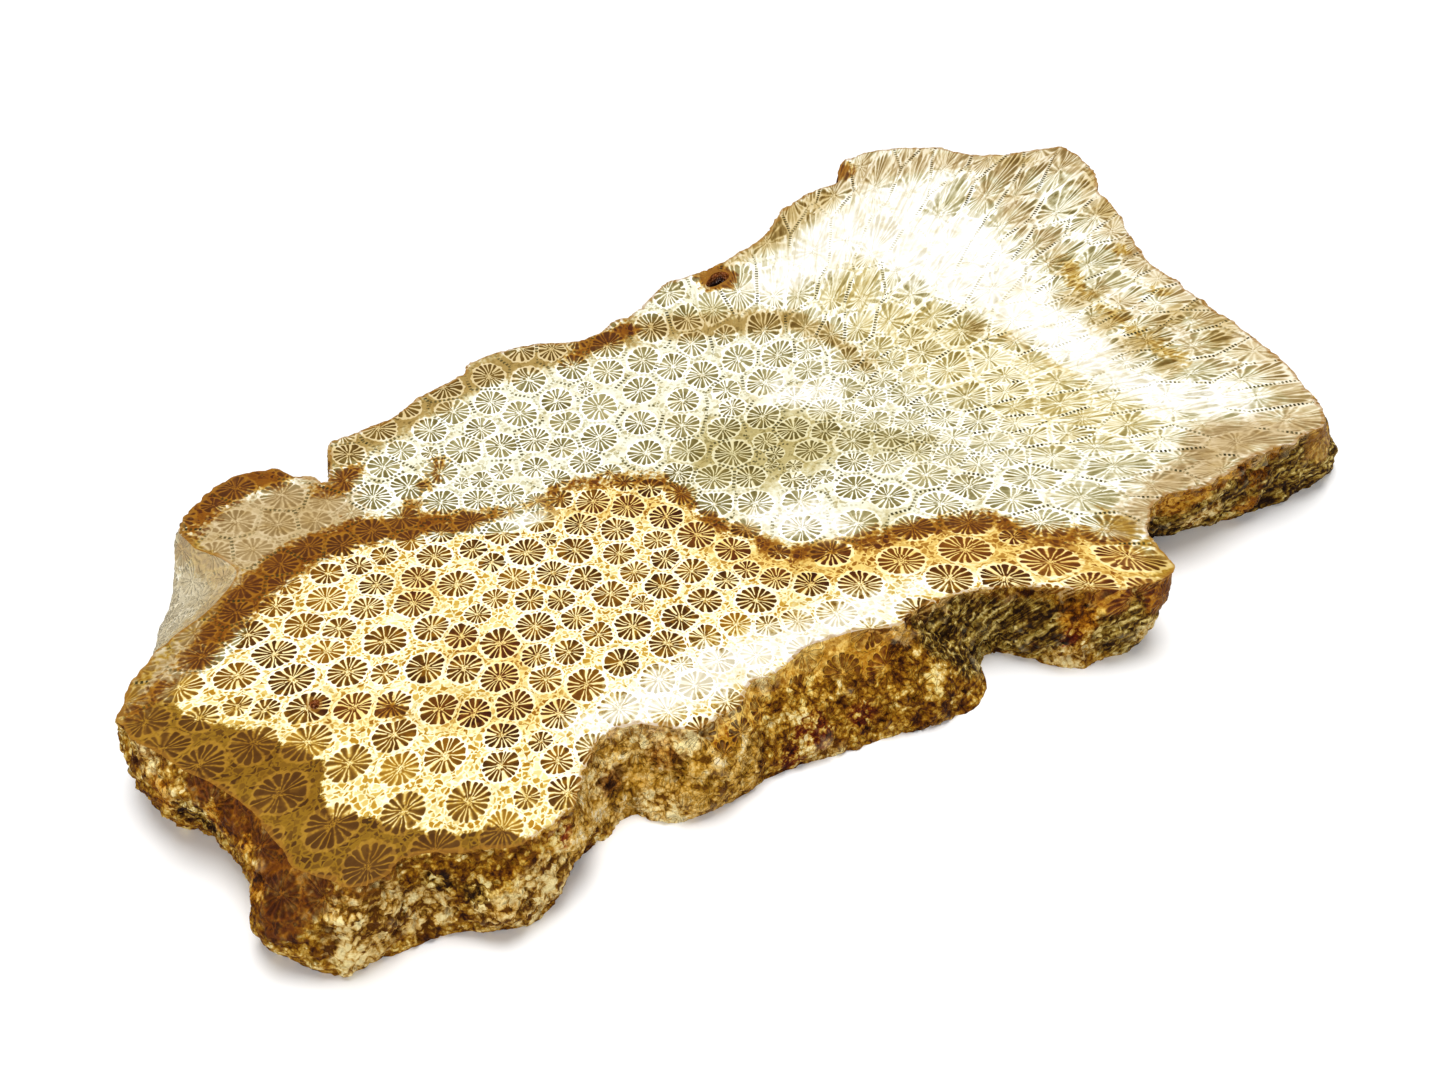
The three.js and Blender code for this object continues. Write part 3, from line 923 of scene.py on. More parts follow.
# Balls within which the broken edge is of each kind: x, y and z of the middle, and radius.
EDGE_PATCHES: dict[Weather, tuple[tuple[float, float, float, float], ...]] = {
    Weather.GLASSY: (
        (-78, 38, 11, 11), (-76, 36, 11, 9),
    ),
    Weather.CLEAN: (
        (-91, 5, 13, 2.2), (-89.6, -1, 13, 2.6), (-89.5, -8, 13, 2.6), (-90.5, -14.5, 12, 4.4),
        (-93.3, -14.6, 9.5, 3.4), (-18, -29.5, 12.6, 4), (-13.6, -32, 11.2, 3),
        (-23.6, -27.9, 13.4, 3), (-32.3, -28.9, 12, 3), (-37, -30.3, 11.2, 2.4),
        (17, -47.8, 12.6, 3), (24, -50, 11, 3.4), (68, -46.8, 11, 4.6),
    ),
    Weather.PALE: (
        (-94, 14, 12.5, 2.4), (-85, -20.5, 9, 4.6), (-87, -21.7, 5, 4.2), (-72, -29, 5, 3),
        (-66, -30, 6, 4.4), (-68.4, -30.5, 2.4, 3), (-79, -22.5, 5.5, 3.6), (-46.2, -23.1, 11.3, 2.8),
        (-46.7, -28.2, 2.1, 3.4), (-52.5, -23.4, 9, 2.6), (-23.7, -35.2, 0.6, 2.4),
        (11.9, -45.7, 1.7, 2.6), (24, -51, 4, 3), (46, -42, 5, 3), (-46.5, -22, 13, 3.6),
        (-41.5, -26, 12.6, 3.6), (-36.5, -28, 13.2, 3), (-30, -27, 13.6, 2.6),
        (-24, -26.5, 13.6, 2.4),
    ),
    Weather.DARK: (
        (-76.5, -23, 9.6, 1.9), (-73.4, -26.8, 8, 1.6), (-92.4, 6, 7.4, 3.4),
        (-90.1, -20.9, 2.7, 0.8), (40.8, -38.6, 2.4, 2), (42.5, -39, 1, 1.6),
    ),
    Weather.RED: (
        (-62.2, -28.3, 11.4, 1.8), (-87.3, -17.3, 13.1, 0.9), (-25.1, -33.1, 5.8, 2.4),
        (-24.5, -34.1, 4, 2), (-17.8, -35.8, 4.9, 2), (-28.4, -33.5, 2, 2), (9.5, -41.9, 3.4, 1),
        (45.2, -43, 10.9, 0.8), (12.4, -45.3, 6, 1.8),
    ),
    Weather.RUSTY: (
        (-90.2, -3.5, 12.4, 3), (-91.6, 2, 10.6, 2.6), (-94, 10, 9.6, 2.6), (-92, -9, 9, 3),
        (-51.1, -24.7, 7.8, 2), (-44.4, -26.5, 9.6, 2), (-43.6, -24.1, 13.5, 1.4),
        (-12, -31.5, 12, 2.6), (13, -45.8, 9, 2.6), (39, -40.5, 11.7, 3.4), (41, -39.5, 9, 2.6),
        (43, -42.3, 11.6, 2.6), (47, -43, 12.4, 2), (51.5, -43.6, 12.8, 1.8), (57, -45, 13, 1.5),
        (55, -44.6, 9, 1.8), (54.2, -44.6, 3.6, 2),
    ),
    Weather.GREY: (
        (-2.7, -33.5, 10, 5), (1, -36, 7, 6), (5, -38, 6, 6), (8, -41, 6, 6), (21, -50, 7, 7),
        (45, -42, 5, 8), (60, -46, 6, 9), (72, -46, 5, 8), (78, -20, 6, 20), (86, 12, 6, 16),
        (88, 34, 6, 16),
    ),
    Weather.BRIGHT: (
        (-39, -31, 6, 6), (-51, -24.5, 9, 7), (-47, -26, 4, 7), (-43, -31, 4, 5),
        (-60, -28, 7, 4),
    ),
}


def deepest(depths: Iterable[np.ndarray]) -> np.ndarray:
    """The deepest of several depths at each place, within the bounds that are told apart."""
    return np.clip(np.max([*depths], axis=0), -FAR_INSIDE, FAR_INSIDE)


def depth_within(stain: Stain, places: np.ndarray) -> np.ndarray:
    """How far inside a stroke or a patch each place lies, below 0 outside it.

    Args:
        stain: the corners of the stroke or patch.
        places: places, one row each.

    Returns:
        One depth for each place.
    """
    corners = np.array(stain, float)
    if corners.shape[1] == 3:
        if len(corners) == 1:
            return corners[0, 2] - np.linalg.norm(places - corners[0, :2], axis=1)
        return segment_distance(places, corners[:, :2], corners[:, 2])
    ring = np.vstack([corners, corners[:1]])
    edge = -segment_distance(places, ring, np.zeros(len(ring)))
    return np.where(encloses(places, ring[:-1], ring[1:]), edge, -edge)


def stain_depth(mineral: str, places: np.ndarray) -> np.ndarray:
    """How deep inside the stains of one mineral each place of the polished face lies."""
    return deepest(depth_within(stain, places) for stain in STAINS[mineral])


def weather_depth(weather: Weather, points: np.ndarray) -> np.ndarray:
    """How deep inside the patches of one kind of weathering each point of the edge lies."""
    patches = EDGE_PATCHES[weather]
    return deepest(r - np.linalg.norm(points - (x, y, z), axis=1) for x, y, z, r in patches)


# ---------------- shader groups


class Chart(StrEnum):
    """The UV maps and numbers that the slab's mesh carries for its finishes."""

    CORALLITE = "corallite"  # place in the frame of the corallite, in millimetres
    SEAM = "seam"  # place along the border with the next corallite, and distance from it
    WALLS = "walls"  # distances from the two nearest borders, in the corallite's frame
    FILL = "corallite_fill"  # how far the corallite fills its cell up to the borders
    FAN = "corallite_fan"  # how far the corallite belongs to the fan of the right end
    RADIUS = "corallite_radius"
    SEPTA = "corallite_septa"
    CHANCE = "corallite_chance"
    SECOND_CHANCE = "corallite_second_chance"
    BEADS = "seam_beads"
    DROP = "below_face"  # depth below the polished face, in millimetres
    INSET = "inset"  # distance from the rim of a sawn face, in millimetres
    RELIEF = "relief"  # how far a point of the broken edge stands out, in millimetres


def flower_group() -> bpy.types.NodeTree:
    """The section through one corallite: chambers between septa, wall and middle.

    Returns:
        A group that takes a place in the corallite's frame and gives its masks.
    """
    bench = GroupBench(
        "Corallite Section",
        {
            "Place": None, "Room": 1.0, "Radius": 2.3, "Fill": 0.0,
            "Septa": 20.0, "Chance": 0.5, "Septum": 0.14, "Softness": 0.05,
        },
        dict.fromkeys(("Chamber", "Core", "Disc", "Middle", "Tone", "Ring"), Plug.NUMBER),
    )
    taken = bench.taken
    chance, septa, soft = taken["Chance"], taken["Septa"], taken["Softness"]
    # The noises are looked up at a height that differs from one corallite to the next.
    shift = bench.upwards(chance * 83.0)
    own_place = taken["Place"] + shift
    wobble = (bench.cloud(own_place, 0.8)[1] - (0.5, 0.5, 0.5)) * 0.4
    place = (taken["Place"] + wobble) * (1, 1, 0)
    out = bench.vector("LENGTH", place)
    to_border = out / (out + bench.highest(taken["Room"] - 0.12, 0.001))
    to_radius = out / taken["Radius"]
    filled = to_radius * (1 - taken["Fill"]) + to_border * taken["Fill"]
    share = bench.highest(filled, to_border)

    # Round the middle, each gap between two septa has a number, and draws its own lots.
    axes = bench.split(place)
    turn = bench.math("ARCTAN2", axes[1], axes[0]) * (0.5 / math.pi)
    rim_place = bench.vector("NORMALIZE", place) + shift
    phase = turn * septa + bench.wave(rim_place, 1.7, 1) * 1.8 + chance * 7.3
    number = bench.math("FLOORED_MODULO", bench.math("FLOOR", phase), septa)
    lottery = bench.place("TexWhiteNoise", {"W": number + chance * 531.7}, noise_dimensions="1D")
    lots = bench.split(lottery["Color"])
    across = bench.math("ABSOLUTE", bench.math("FRACT", phase) - 0.5) * 2
    gap = (1 - across) * math.pi * out / septa

    # Every other septum stops short of the middle.
    short = bench.math("FLOORED_MODULO", bench.math("FLOOR", phase + 0.5), 2.0)
    half_wall = taken["Septum"] * 0.5 * (share + 0.25) - short * share.step(0.36, 0.24) * 0.15
    between = gap.step(half_wall - soft, half_wall + soft)
    soft_share = soft / taken["Radius"]
    outer = 0.91 - across**2.5 * 0.15 + (lots[0] - 0.5) * 0.08
    within = share.step(outer + soft_share, outer - soft_share)
    inner = lots[1] ** 2.0 * 0.22 + 0.1
    edge = bench.wave(rim_place, 4.5, 1) * 0.3 + 1.0
    bench.give(
        Chamber=between * within * share.step(inner - 0.05, inner + 0.05),
        Core=(gap - half_wall).step(0.0, 0.26),
        Disc=share.step(edge + soft_share, edge - soft_share),
        Middle=share.step(0.3, 0.12),
        Tone=lots[2] * 0.55 + bench.grain(own_place, 4.0) * 0.45,
        Ring=share,
    )
    return bench.tree


def border_group() -> bpy.types.NodeTree:
    """The ragged edge of a stain, from how deep inside it a point lies.

    Returns:
        A group that gives 1 inside the stain and 0 outside it.
    """
    bench = GroupBench(
        "Ragged Border",
        {"Depth": 0.0, "Place": None, "Grain Place": None, "Wander": 1.0, "Softness": 1.0},
        {"Inside": Plug.NUMBER},
    )
    taken = bench.taken
    stray = bench.wave(taken["Place"], 0.3) * 2.6 + bench.wave(taken["Grain Place"], 1.6, 3) * 3.4
    depth = taken["Depth"] + stray * taken["Wander"]
    bench.give(Inside=depth.step(taken["Softness"] * -1, taken["Softness"]))
    return bench.tree


def stone_group(border: bpy.types.NodeTree) -> bpy.types.NodeTree:
    """The logarithms of the stone's colours at a place, soaked by each mineral in turn.

    Args:
        border: the group that draws the ragged edge of a stain.

    Returns:
        A group that gives those of skeleton, chamber, matrix and patch, and some masks.
    """
    roles = ("Skeleton", "Chamber", "Matrix", "Patch")
    gives = dict.fromkeys(roles, Plug.VECTOR)
    gives |= dict.fromkeys(("Bleached", "Gilded", "Clouded"), Plug.NUMBER)
    bench = GroupBench("Soaked Stone", {"Place": None, "Grain Place": None}, gives)
    taken = bench.taken
    depths: dict[str, object] = {role: PLAIN_STONE.depth(role) for role in roles}
    masks: dict[str, Signal] = {}
    for mineral in MINERALS:
        ragged = bench.group(
            border,
            Depth=bench.number(f"stain_{mineral.name}"),
            Place=taken["Place"],
            Grain_Place=taken["Grain Place"],
            Wander=mineral.wander,
            Softness=mineral.softness,
        )
        mask = ragged["Inside"] * mineral.strength
        masks[mineral.name] = mask
        depths = {role: bench.soak(mask, depths[role], mineral.depth(role)) for role in roles}
    brown = bench.highest(masks["bronze"], masks["umber"])
    clouded = bench.highest(masks["smoke"], brown * 0.7)
    bench.give(**depths, Bleached=masks["chalk"], Gilded=masks["gold"], Clouded=clouded)
    return bench.tree


class SectionBench(GroupBench):
    """The bench where the coral is worked out as a saw cut or a break shows it.

    Until the end, the colour is held as the logarithms of its parts.
    """

    fleck_density = 1.15  # flecks for each millimetre
    bead_spacing = 0.66  # in millimetres
    bead_tint = "2C2608"
    wall_tint = "F0DC9C"
    deep_tint = "B0A480"

    def __init__(self, flower: bpy.types.NodeTree, stone: bpy.types.NodeTree) -> None:
        """Makes the group and looks up what its parts share.

        Args:
            flower: the group that draws one corallite.
            stone: the group that gives the colours of the stone.
        """
        super().__init__(
            "Coral Section",
            {"Clarity": 1.0, "Septum": 0.14, "Softness": 0.05, "Beads": 1.0},
            {"Colour": Plug.COLOUR, "Disc": Plug.NUMBER, "Relief": Plug.NUMBER},
        )
        own = self.chart(Chart.CORALLITE)
        self.chance = self.number(Chart.CHANCE)
        self.second_chance = self.number(Chart.SECOND_CHANCE)
        self.fan = self.number(Chart.FAN)
        self.own_place = own + self.upwards(self.chance * 37.0)
        self.slab_place = self.millimetres()
        stained = self.group(stone, Place=self.slab_place, Grain_Place=self.own_place)
        self.bleached, self.gilded = stained["Bleached"], stained["Gilded"]
        self.clouded = stained["Clouded"]
        self.skeleton, self.chamber = stained["Skeleton"], stained["Chamber"]
        self.matrix, self.patch = stained["Matrix"], stained["Patch"]
        self.bright = self.soak(0.5, self.chamber, self.patch)
        walls = self.split(self.chart(Chart.WALLS))
        blur = self.highest(self.fan.spread(1.0, 3.0), self.clouded.spread(1.0, 3.4))
        self.section = self.group(
            flower,
            Place=own,
            Room=self.math("MINIMUM", walls[0], walls[1]),
            Radius=self.number(Chart.RADIUS),
            Fill=self.number(Chart.FILL),
            Septa=self.number(Chart.SEPTA),
            Chance=self.chance,
            Septum=self.taken["Septum"] * self.fan.spread(1.0, 0.9),
            Softness=self.taken["Softness"] * blur,
        )
        self.tone = self.section["Tone"]
        self.bead = self._beads()
        self.colour = self.matrix

    def _beads(self) -> Signal:
        """Where dark beads stand, in rows along some of the borders.

        Returns:
            A share that is 1 on a bead.
        """
        seam = self.split(self.chart(Chart.SEAM))
        pulse = self.math("COSINE", seam[0] * (2 * math.pi / self.bead_spacing))
        bead = self.math("ABSOLUTE", seam[1]).step(0.3, 0.18) * pulse.step(-0.4, 0.2)
        shown = self.number(Chart.BEADS) * self.taken["Beads"]
        shown = shown * self.grain(self.slab_place, 0.35).step(0.36, 0.56)
        return bead * shown * (1 - self.gilded * 0.9) * (1 - self.bleached * 0.9)

    def _add_flecks(self) -> None:
        """Strews flecks over the pale stone between the corallites."""
        bent = self.own_place + self.cloud(self.own_place, 1.1, 1)[1] * 0.9
        gaps = self.crumbs(bent, self.fleck_density, "DISTANCE_TO_EDGE")["Distance"]
        pick = self.split(self.crumbs(bent, self.fleck_density)["Color"])
        denser = self.clouded * 0.45
        least, most = self.gilded.spread(0.2, -0.1), self.gilded.spread(0.7, 0.2)
        fleck = gaps.step(0.03, 0.2) * pick[0].step(least - denser, most - denser)
        dark = self.soak(pick[1] * 0.9, self.patch, self.matrix)
        self.colour = self.soak(fleck, self.colour, dark)

    def _add_walls(self) -> None:
        """Lays the pale walls and septa of the corallites over the stone."""
        disc = self.section["Disc"]
        walls = disc * self.clouded.spread(1.0, 0.5)
        inner = disc * self.section["Ring"].step(0.92, 0.7) * (1 - self.bleached)
        self.colour = self.soak(walls, self.colour, self.skeleton)
        self.colour = self.dye(inner * self.gilded.spread(0.1, 0.5), self.colour, self.wall_tint)

    def _filling(self) -> Signal:
        """What fills the chambers, in tints that differ from one corallite to the next.

        Returns:
            Its colour.
        """
        deep = self.dye(1.0, self.chamber, self.deep_tint)
        shade = self.tone * 0.7 + self.chance * 0.5 + self.section["Core"] * 0.5
        shade = shade.step(0.3, 1.4) * self.gilded.spread(0.5, 1.0)
        light = (self.second_chance + self.tone * 0.3).step(0.8, 1.25)
        cloudy = self.grain(self.own_place, 0.5, 3) + self.second_chance * -0.22
        filling = self.soak(light * 0.8, self.soak(shade, self.bright, deep), self.patch)
        return self.soak(cloudy.step(0.44, 0.56) * 0.65, filling, self.patch)

    def _add_chambers(self) -> None:
        """Cuts the chambers between the septa, with beads round them and knots in the middle."""
        veil = self.grain(self.slab_place, 0.16, 3).step(0.5, 0.72)
        clarity = (1 - veil * self.gilded.spread(0.35, 0.0)) * (1 - self.bleached * 0.7)
        fading = (self.tone + self.grain(self.slab_place, 0.22)).step(0.85, 1.2)
        clarity = clarity * (1 - self.clouded * 0.4) * (1 - fading * self.fan * 0.7)
        shown = self.section["Chamber"] * (clarity * self.taken["Clarity"])
        self.colour = self.soak(shown, self.colour, self._filling())
        self.colour = self.soak(self.bead, self.colour, depth_of(self.bead_tint))
        knot = self.grain(self.own_place, 6.0).step(0.48, 0.6) * self.section["Middle"]
        self.colour = self.soak(knot * 0.55, self.colour, self.bright)

    def _add_streaks(self) -> None:
        """Draws fine streaks along the tubes of the fan."""
        streaks = self.wave(self.own_place * (0.3, 1.6, 1.0), 1.2, 3)
        cloudy = (self.second_chance + self.grain(self.slab_place, 0.12, 3)).step(0.7, 1.3)
        dark = streaks.step(-0.04, 0.2) * (self.fan * cloudy) * 0.75
        light = streaks.step(-0.02, -0.18) * (self.fan * 0.5)
        self.colour = self.soak(dark, self.colour, self.patch)
        self.colour = self.soak(light, self.colour, self.skeleton)

    def _add_unevenness(self) -> None:
        """Makes the whole stone broadly and faintly uneven."""
        for scale, low, high, code in ((0.09, 0.5, 0.8, "D9C79C"), (0.45, 0.48, 0.75, "D2C094")):
            share = self.grain(self.slab_place, scale, 4).step(low, high) * 0.35
            self.colour = self.dye(share, self.colour, code)

    def draw(self) -> bpy.types.NodeTree:
        """Lays the parts over each other in turn.

        Returns:
            A group that gives the colour, how much each point is corallite, and its relief.
        """
        self._add_flecks()
        self._add_walls()
        self._add_chambers()
        self._add_streaks()
        self._add_unevenness()
        disc = self.section["Disc"]
        self.give(
            Colour=self.vector("POWER", (math.e, math.e, math.e), self.colour),
            Disc=disc,
            Relief=disc - self.section["Chamber"] * 1.3 - self.bead * 0.6,
        )
        return self.tree


# ---------------- the finishes


@dataclass(frozen=True)
class PolishedFace:
    """The sawn and polished face: glossy, clear, with every septum sharp."""

    section: bpy.types.NodeTree
    roughness: float = 0.2
    shine: float = 0.12
    rim_width: float = 0.45  # of the stained rim, in millimetres
    rim_cover: float = 0.6
    rim_tint: str = "946420"

    def material(self) -> bpy.types.Material:
        """Makes the material.

        Returns:
            The material.
        """
        bench = MaterialBench("polished_face")
        coral = bench.group(self.section, Clarity=1.0, Septum=0.24, Softness=0.035)
        place = bench.millimetres()
        ragged = (bench.grain(place, 0.45, 4) - 0.42) * (4.0 * self.rim_width)
        inset = bench.number(Chart.INSET) - ragged
        rim = inset.step(self.rim_width, self.rim_width * 0.2)
        colour = bench.blend(rim * self.rim_cover, coral["Colour"], tint(self.rim_tint))
        gloss = bench.grain(place, 0.25, 3).spread(0.8, 1.2)
        bench.shade(colour, gloss * self.roughness + coral["Disc"] * 0.03, self.shine)
        return bench.material


@dataclass(frozen=True)
class SawnFace:
    """The underside: sawn but not polished, so paler, duller and ridged by the saw."""

    section: bpy.types.NodeTree
    roughness: float = 0.62
    shine: float = 0.3
    ridge_spacing: float = 1.1  # of the saw's ridges, in millimetres
    ridge_height: float = 0.06
    dust_cover: float = 0.2
    dust_tint: str = "CFC3A4"

    def material(self) -> bpy.types.Material:
        """Makes the material.

        Returns:
            The material.
        """
        bench = MaterialBench("sawn_face")
        coral = bench.group(self.section, Clarity=0.8, Beads=0.5, Softness=0.09)
        dusty = bench.blend(self.dust_cover, coral["Colour"], tint(self.dust_tint))
        bench.shade(dusty, self.roughness, self.shine)
        feeds = {
            "Vector": bench.millimetres(), "Scale": 0.3 / self.ridge_spacing, "Distortion": 1.2,
        }
        ridges = bench.place("TexWave", feeds, wave_type="BANDS", bands_direction="DIAGONAL")
        bench.bump(ridges[1] + coral["Relief"] * 0.5, self.ridge_height, 0.35)
        return bench.material


Ramp = tuple[tuple[float, str], ...]


@dataclass(frozen=True)
class BrokenEdge:
    """The broken and weathered edge: granular ochre rind over faint, worn corallites."""

    section: bpy.types.NodeTree
    border: bpy.types.NodeTree
    shine: float = 0.1
    crumb_height: float = 0.5  # in millimetres
    crumb_density: float = 1.15  # crumbs for each millimetre
    rind: Ramp = (
        (0.0, "301000"), (0.2, "5C3000"), (0.42, "845404"), (0.6, "AA7A1C"), (0.8, "D4AC54"),
        (1.0, "FAE6A8"),
    )
    bright: Ramp = (
        (0.0, "6E4204"), (0.25, "AE7C18"), (0.5, "DEAE50"), (0.72, "F0CE80"), (1.0, "FCE8BC"),
    )
    grey: Ramp = (
        (0.02, "180800"), (0.2, "4C3004"), (0.38, "7E5E1A"), (0.58, "A48838"), (0.9, "E8D084"),
    )
    pale: Ramp = ((0.1, "5E3400"), (0.34, "B08028"), (0.55, "E4BE70"), (0.85, "FCE8A8"))
    rusty: Ramp = ((0.05, "2E1000"), (0.3, "6C3600"), (0.55, "9E5C00"), (0.9, "DCA030"))
    dark: Ramp = (
        (0.25, "1E0A00"), (0.42, "563604"), (0.56, "926C20"), (0.72, "D0AC54"), (0.95, "FCECA8"),
    )

    def _weather(self, bench: Bench, kind: Weather, place: Signal) -> Signal:
        """How much of one kind of weathering there is at each point.

        Args:
            bench: the bench of the material.
            kind: the kind of weathering.
            place: the place in millimetres.

        Returns:
            A share from 0 to 1.
        """
        depth = bench.number(kind)
        spans = {"Place": place, "Grain_Place": place, "Wander": 0.8, "Softness": 0.8}
        return bench.group(self.border, Depth=depth, **spans)["Inside"]

    @staticmethod
    def _ramp(bench: Bench, share: Signal, stops: Ramp) -> Signal:
        """A colour picked from a row of stops.

        Args:
            bench: the bench of the material.
            share: the place in the row.
            stops: places from 0 to 1, each with its colour.

        Returns:
            The colour.
        """
        ramp = bench.place("ValToRGB", {0: share})
        ends = ramp.node.color_ramp.elements
        for end, (position, code) in zip((ends[0], ends[1]), (stops[0], stops[-1])):
            end.position = position
            end.color = tint(code)
        for position, code in stops[1:-1]:
            ends.new(position).color = tint(code)
        return ramp[0]

    def material(self) -> bpy.types.Material:
        """Makes the material.

        Returns:
            The material.
        """
        bench = MaterialBench("broken_edge")
        place = bench.millimetres()
        coral = bench.group(self.section, Clarity=0.95, Beads=0.8, Softness=0.1, Septum=0.22)
        section = coral["Colour"]

        # Crumbs and crystals of several sizes.
        grains = bench.crumbs(place + bench.cloud(place, 0.8)[1] * 1.2, self.crumb_density)
        pick = bench.split(grains["Color"])
        mix = bench.wave(place, 0.11, 3) + 0.58
        mix = mix + bench.wave(place, 0.42, 4, 0.6) * 1.9
        mix = mix + bench.wave(place, 1.5, 3) * 1.25
        mix = mix + (pick[0] - 0.5) * 0.3 - grains[0].step(0.42, 0.7) * 0.25
        sparkle = mix + (pick[1] - 0.5) * 0.5
        hue = bench.grain(place, 0.16, 3).step(0.42, 0.6)
        colour = self._ramp(bench, mix, self.rind)
        colour = bench.blend(hue * 0.6, colour, tint("F0E088"), "MULTIPLY")

        # Kinds of weathering: what picks the colour, its ramp, and how much it covers.
        tube = bench.chart(Chart.CORALLITE) * (1.0, 1.0, 0.0)
        stripes = bench.wave(tube, 1.0, 4) * 3.2 + mix * 0.45 + coral["Relief"] * 0.25
        for kind, share, stops, cover in (
            (Weather.BRIGHT, mix, self.bright, 0.9),
            (Weather.GREY, stripes, self.grey, 0.9),
            (Weather.PALE, sparkle, self.pale, 0.8),
            (Weather.RUSTY, mix, self.rusty, 0.85),
            (Weather.DARK, sparkle, self.dark, 0.95),
        ):
            there = self._weather(bench, kind, place)
            colour = bench.blend(there * cover, colour, self._ramp(bench, share, stops))
        red = self._weather(bench, Weather.RED, place) * mix.step(0.8, 0.4)
        colour = bench.blend(red * 0.9, colour, tint("B03C0A"), "MULTIPLY")

        # Clean breaks and the strip just under the polished corner show the coral itself.
        fade = bench.number(Chart.DROP) + bench.wave(place, 0.5, 3) * 8.0
        strip = fade.step(2.2, 0.2) * mix.step(1.1, 0.3)
        warm = bench.blend(0.8, section, tint("DDAE58"), "MULTIPLY")
        colour = bench.blend(strip * 0.7, colour, warm)
        clean = self._weather(bench, Weather.CLEAN, place) * 0.9
        ochre = bench.blend(mix.step(1.1, 0.2), tint("F4D078"), tint("B88420"))
        colour = bench.blend(clean, colour, bench.blend(1.0, section, ochre, "MULTIPLY"))
        glassy = self._weather(bench, Weather.GLASSY, place)
        colour = bench.blend(glassy, colour, bench.blend(0.3, section, tint("E0D4B4")))
        clean = bench.highest(clean, glassy)

        # Painted shade darkens the hollows, and a painted highlight makes what stands out paler.
        relief = bench.number(Chart.RELIEF)
        hollow_shade = relief.step(-0.3, -1.1)
        colour = bench.blend(hollow_shade * 0.7, colour, tint("6A3E08"), "MULTIPLY")
        colour = bench.blend(relief.step(0.2, 0.9) * 0.25, colour, tint("F0DCA8"))
        bench.shade(colour, clean.spread(0.85, 0.55), self.shine)
        rough = bench.grain(place, 1.6, 5) * 1.6 + (1 - grains[0]) * 0.7
        rough = rough * clean.spread(1.0, 0.3) + coral["Relief"] * 0.4
        bench.bump(rough, self.crumb_height, 1.0)
        return bench.material


@dataclass(frozen=True)
class LinedPocket:
    """The small holes of the polished face, lined with dark red-brown crystals."""

    deepest: str = "2A0D06"
    lip: str = "A2581A"
    glint: str = "C98A4A"
    crystal_density: float = 2.2  # crystals for each millimetre
    crystal_height: float = 0.4  # in millimetres

    def material(self) -> bpy.types.Material:
        """Makes the material.

        Returns:
            The material.
        """
        bench = MaterialBench("lined_pocket")
        place = bench.millimetres()
        # Painted shade: the hole darkens from its lip towards the bottom. The paler crystal tips are
        # painted glints.
        depth = bench.number(Chart.DROP) + bench.wave(place, 1.2, 3) * 1.6
        colour = bench.blend(depth.step(0.2, 1.6), tint(self.lip), tint(self.deepest))
        crystals = bench.crumbs(place, self.crystal_density)["Distance"]
        glints = crystals.step(0.34, 0.1)
        colour = bench.blend(glints * 0.35, colour, tint(self.glint))
        bench.shade(colour, glints.spread(0.5, 0.15))
        bench.bump(crystals, self.crystal_height, 0.9)
        return bench.material


class Side(IntEnum):
    """The kinds of surface of the slab, by the place of their finish among its materials."""

    POLISHED = 0
    SAWN = 1
    BROKEN = 2
    POCKET = 3


# ---------------- the slab


def read(
    items: bpy.types.bpy_prop_collection, name: str, width: int = 1, kind: type = float
) -> np.ndarray:
    """Reads one property of every item of a mesh.

    Args:
        items: vertices, faces or the like.
        name: the property.
        width: how many numbers it has.
        kind: what it consists of.

    Returns:
        One number for each item, or one row.
    """
    values = np.empty(len(items) * width, np.float32 if kind is float else kind)
    items.foreach_get(name, values)
    values = values.astype(kind)
    return values.reshape(-1, width) if width > 1 else values


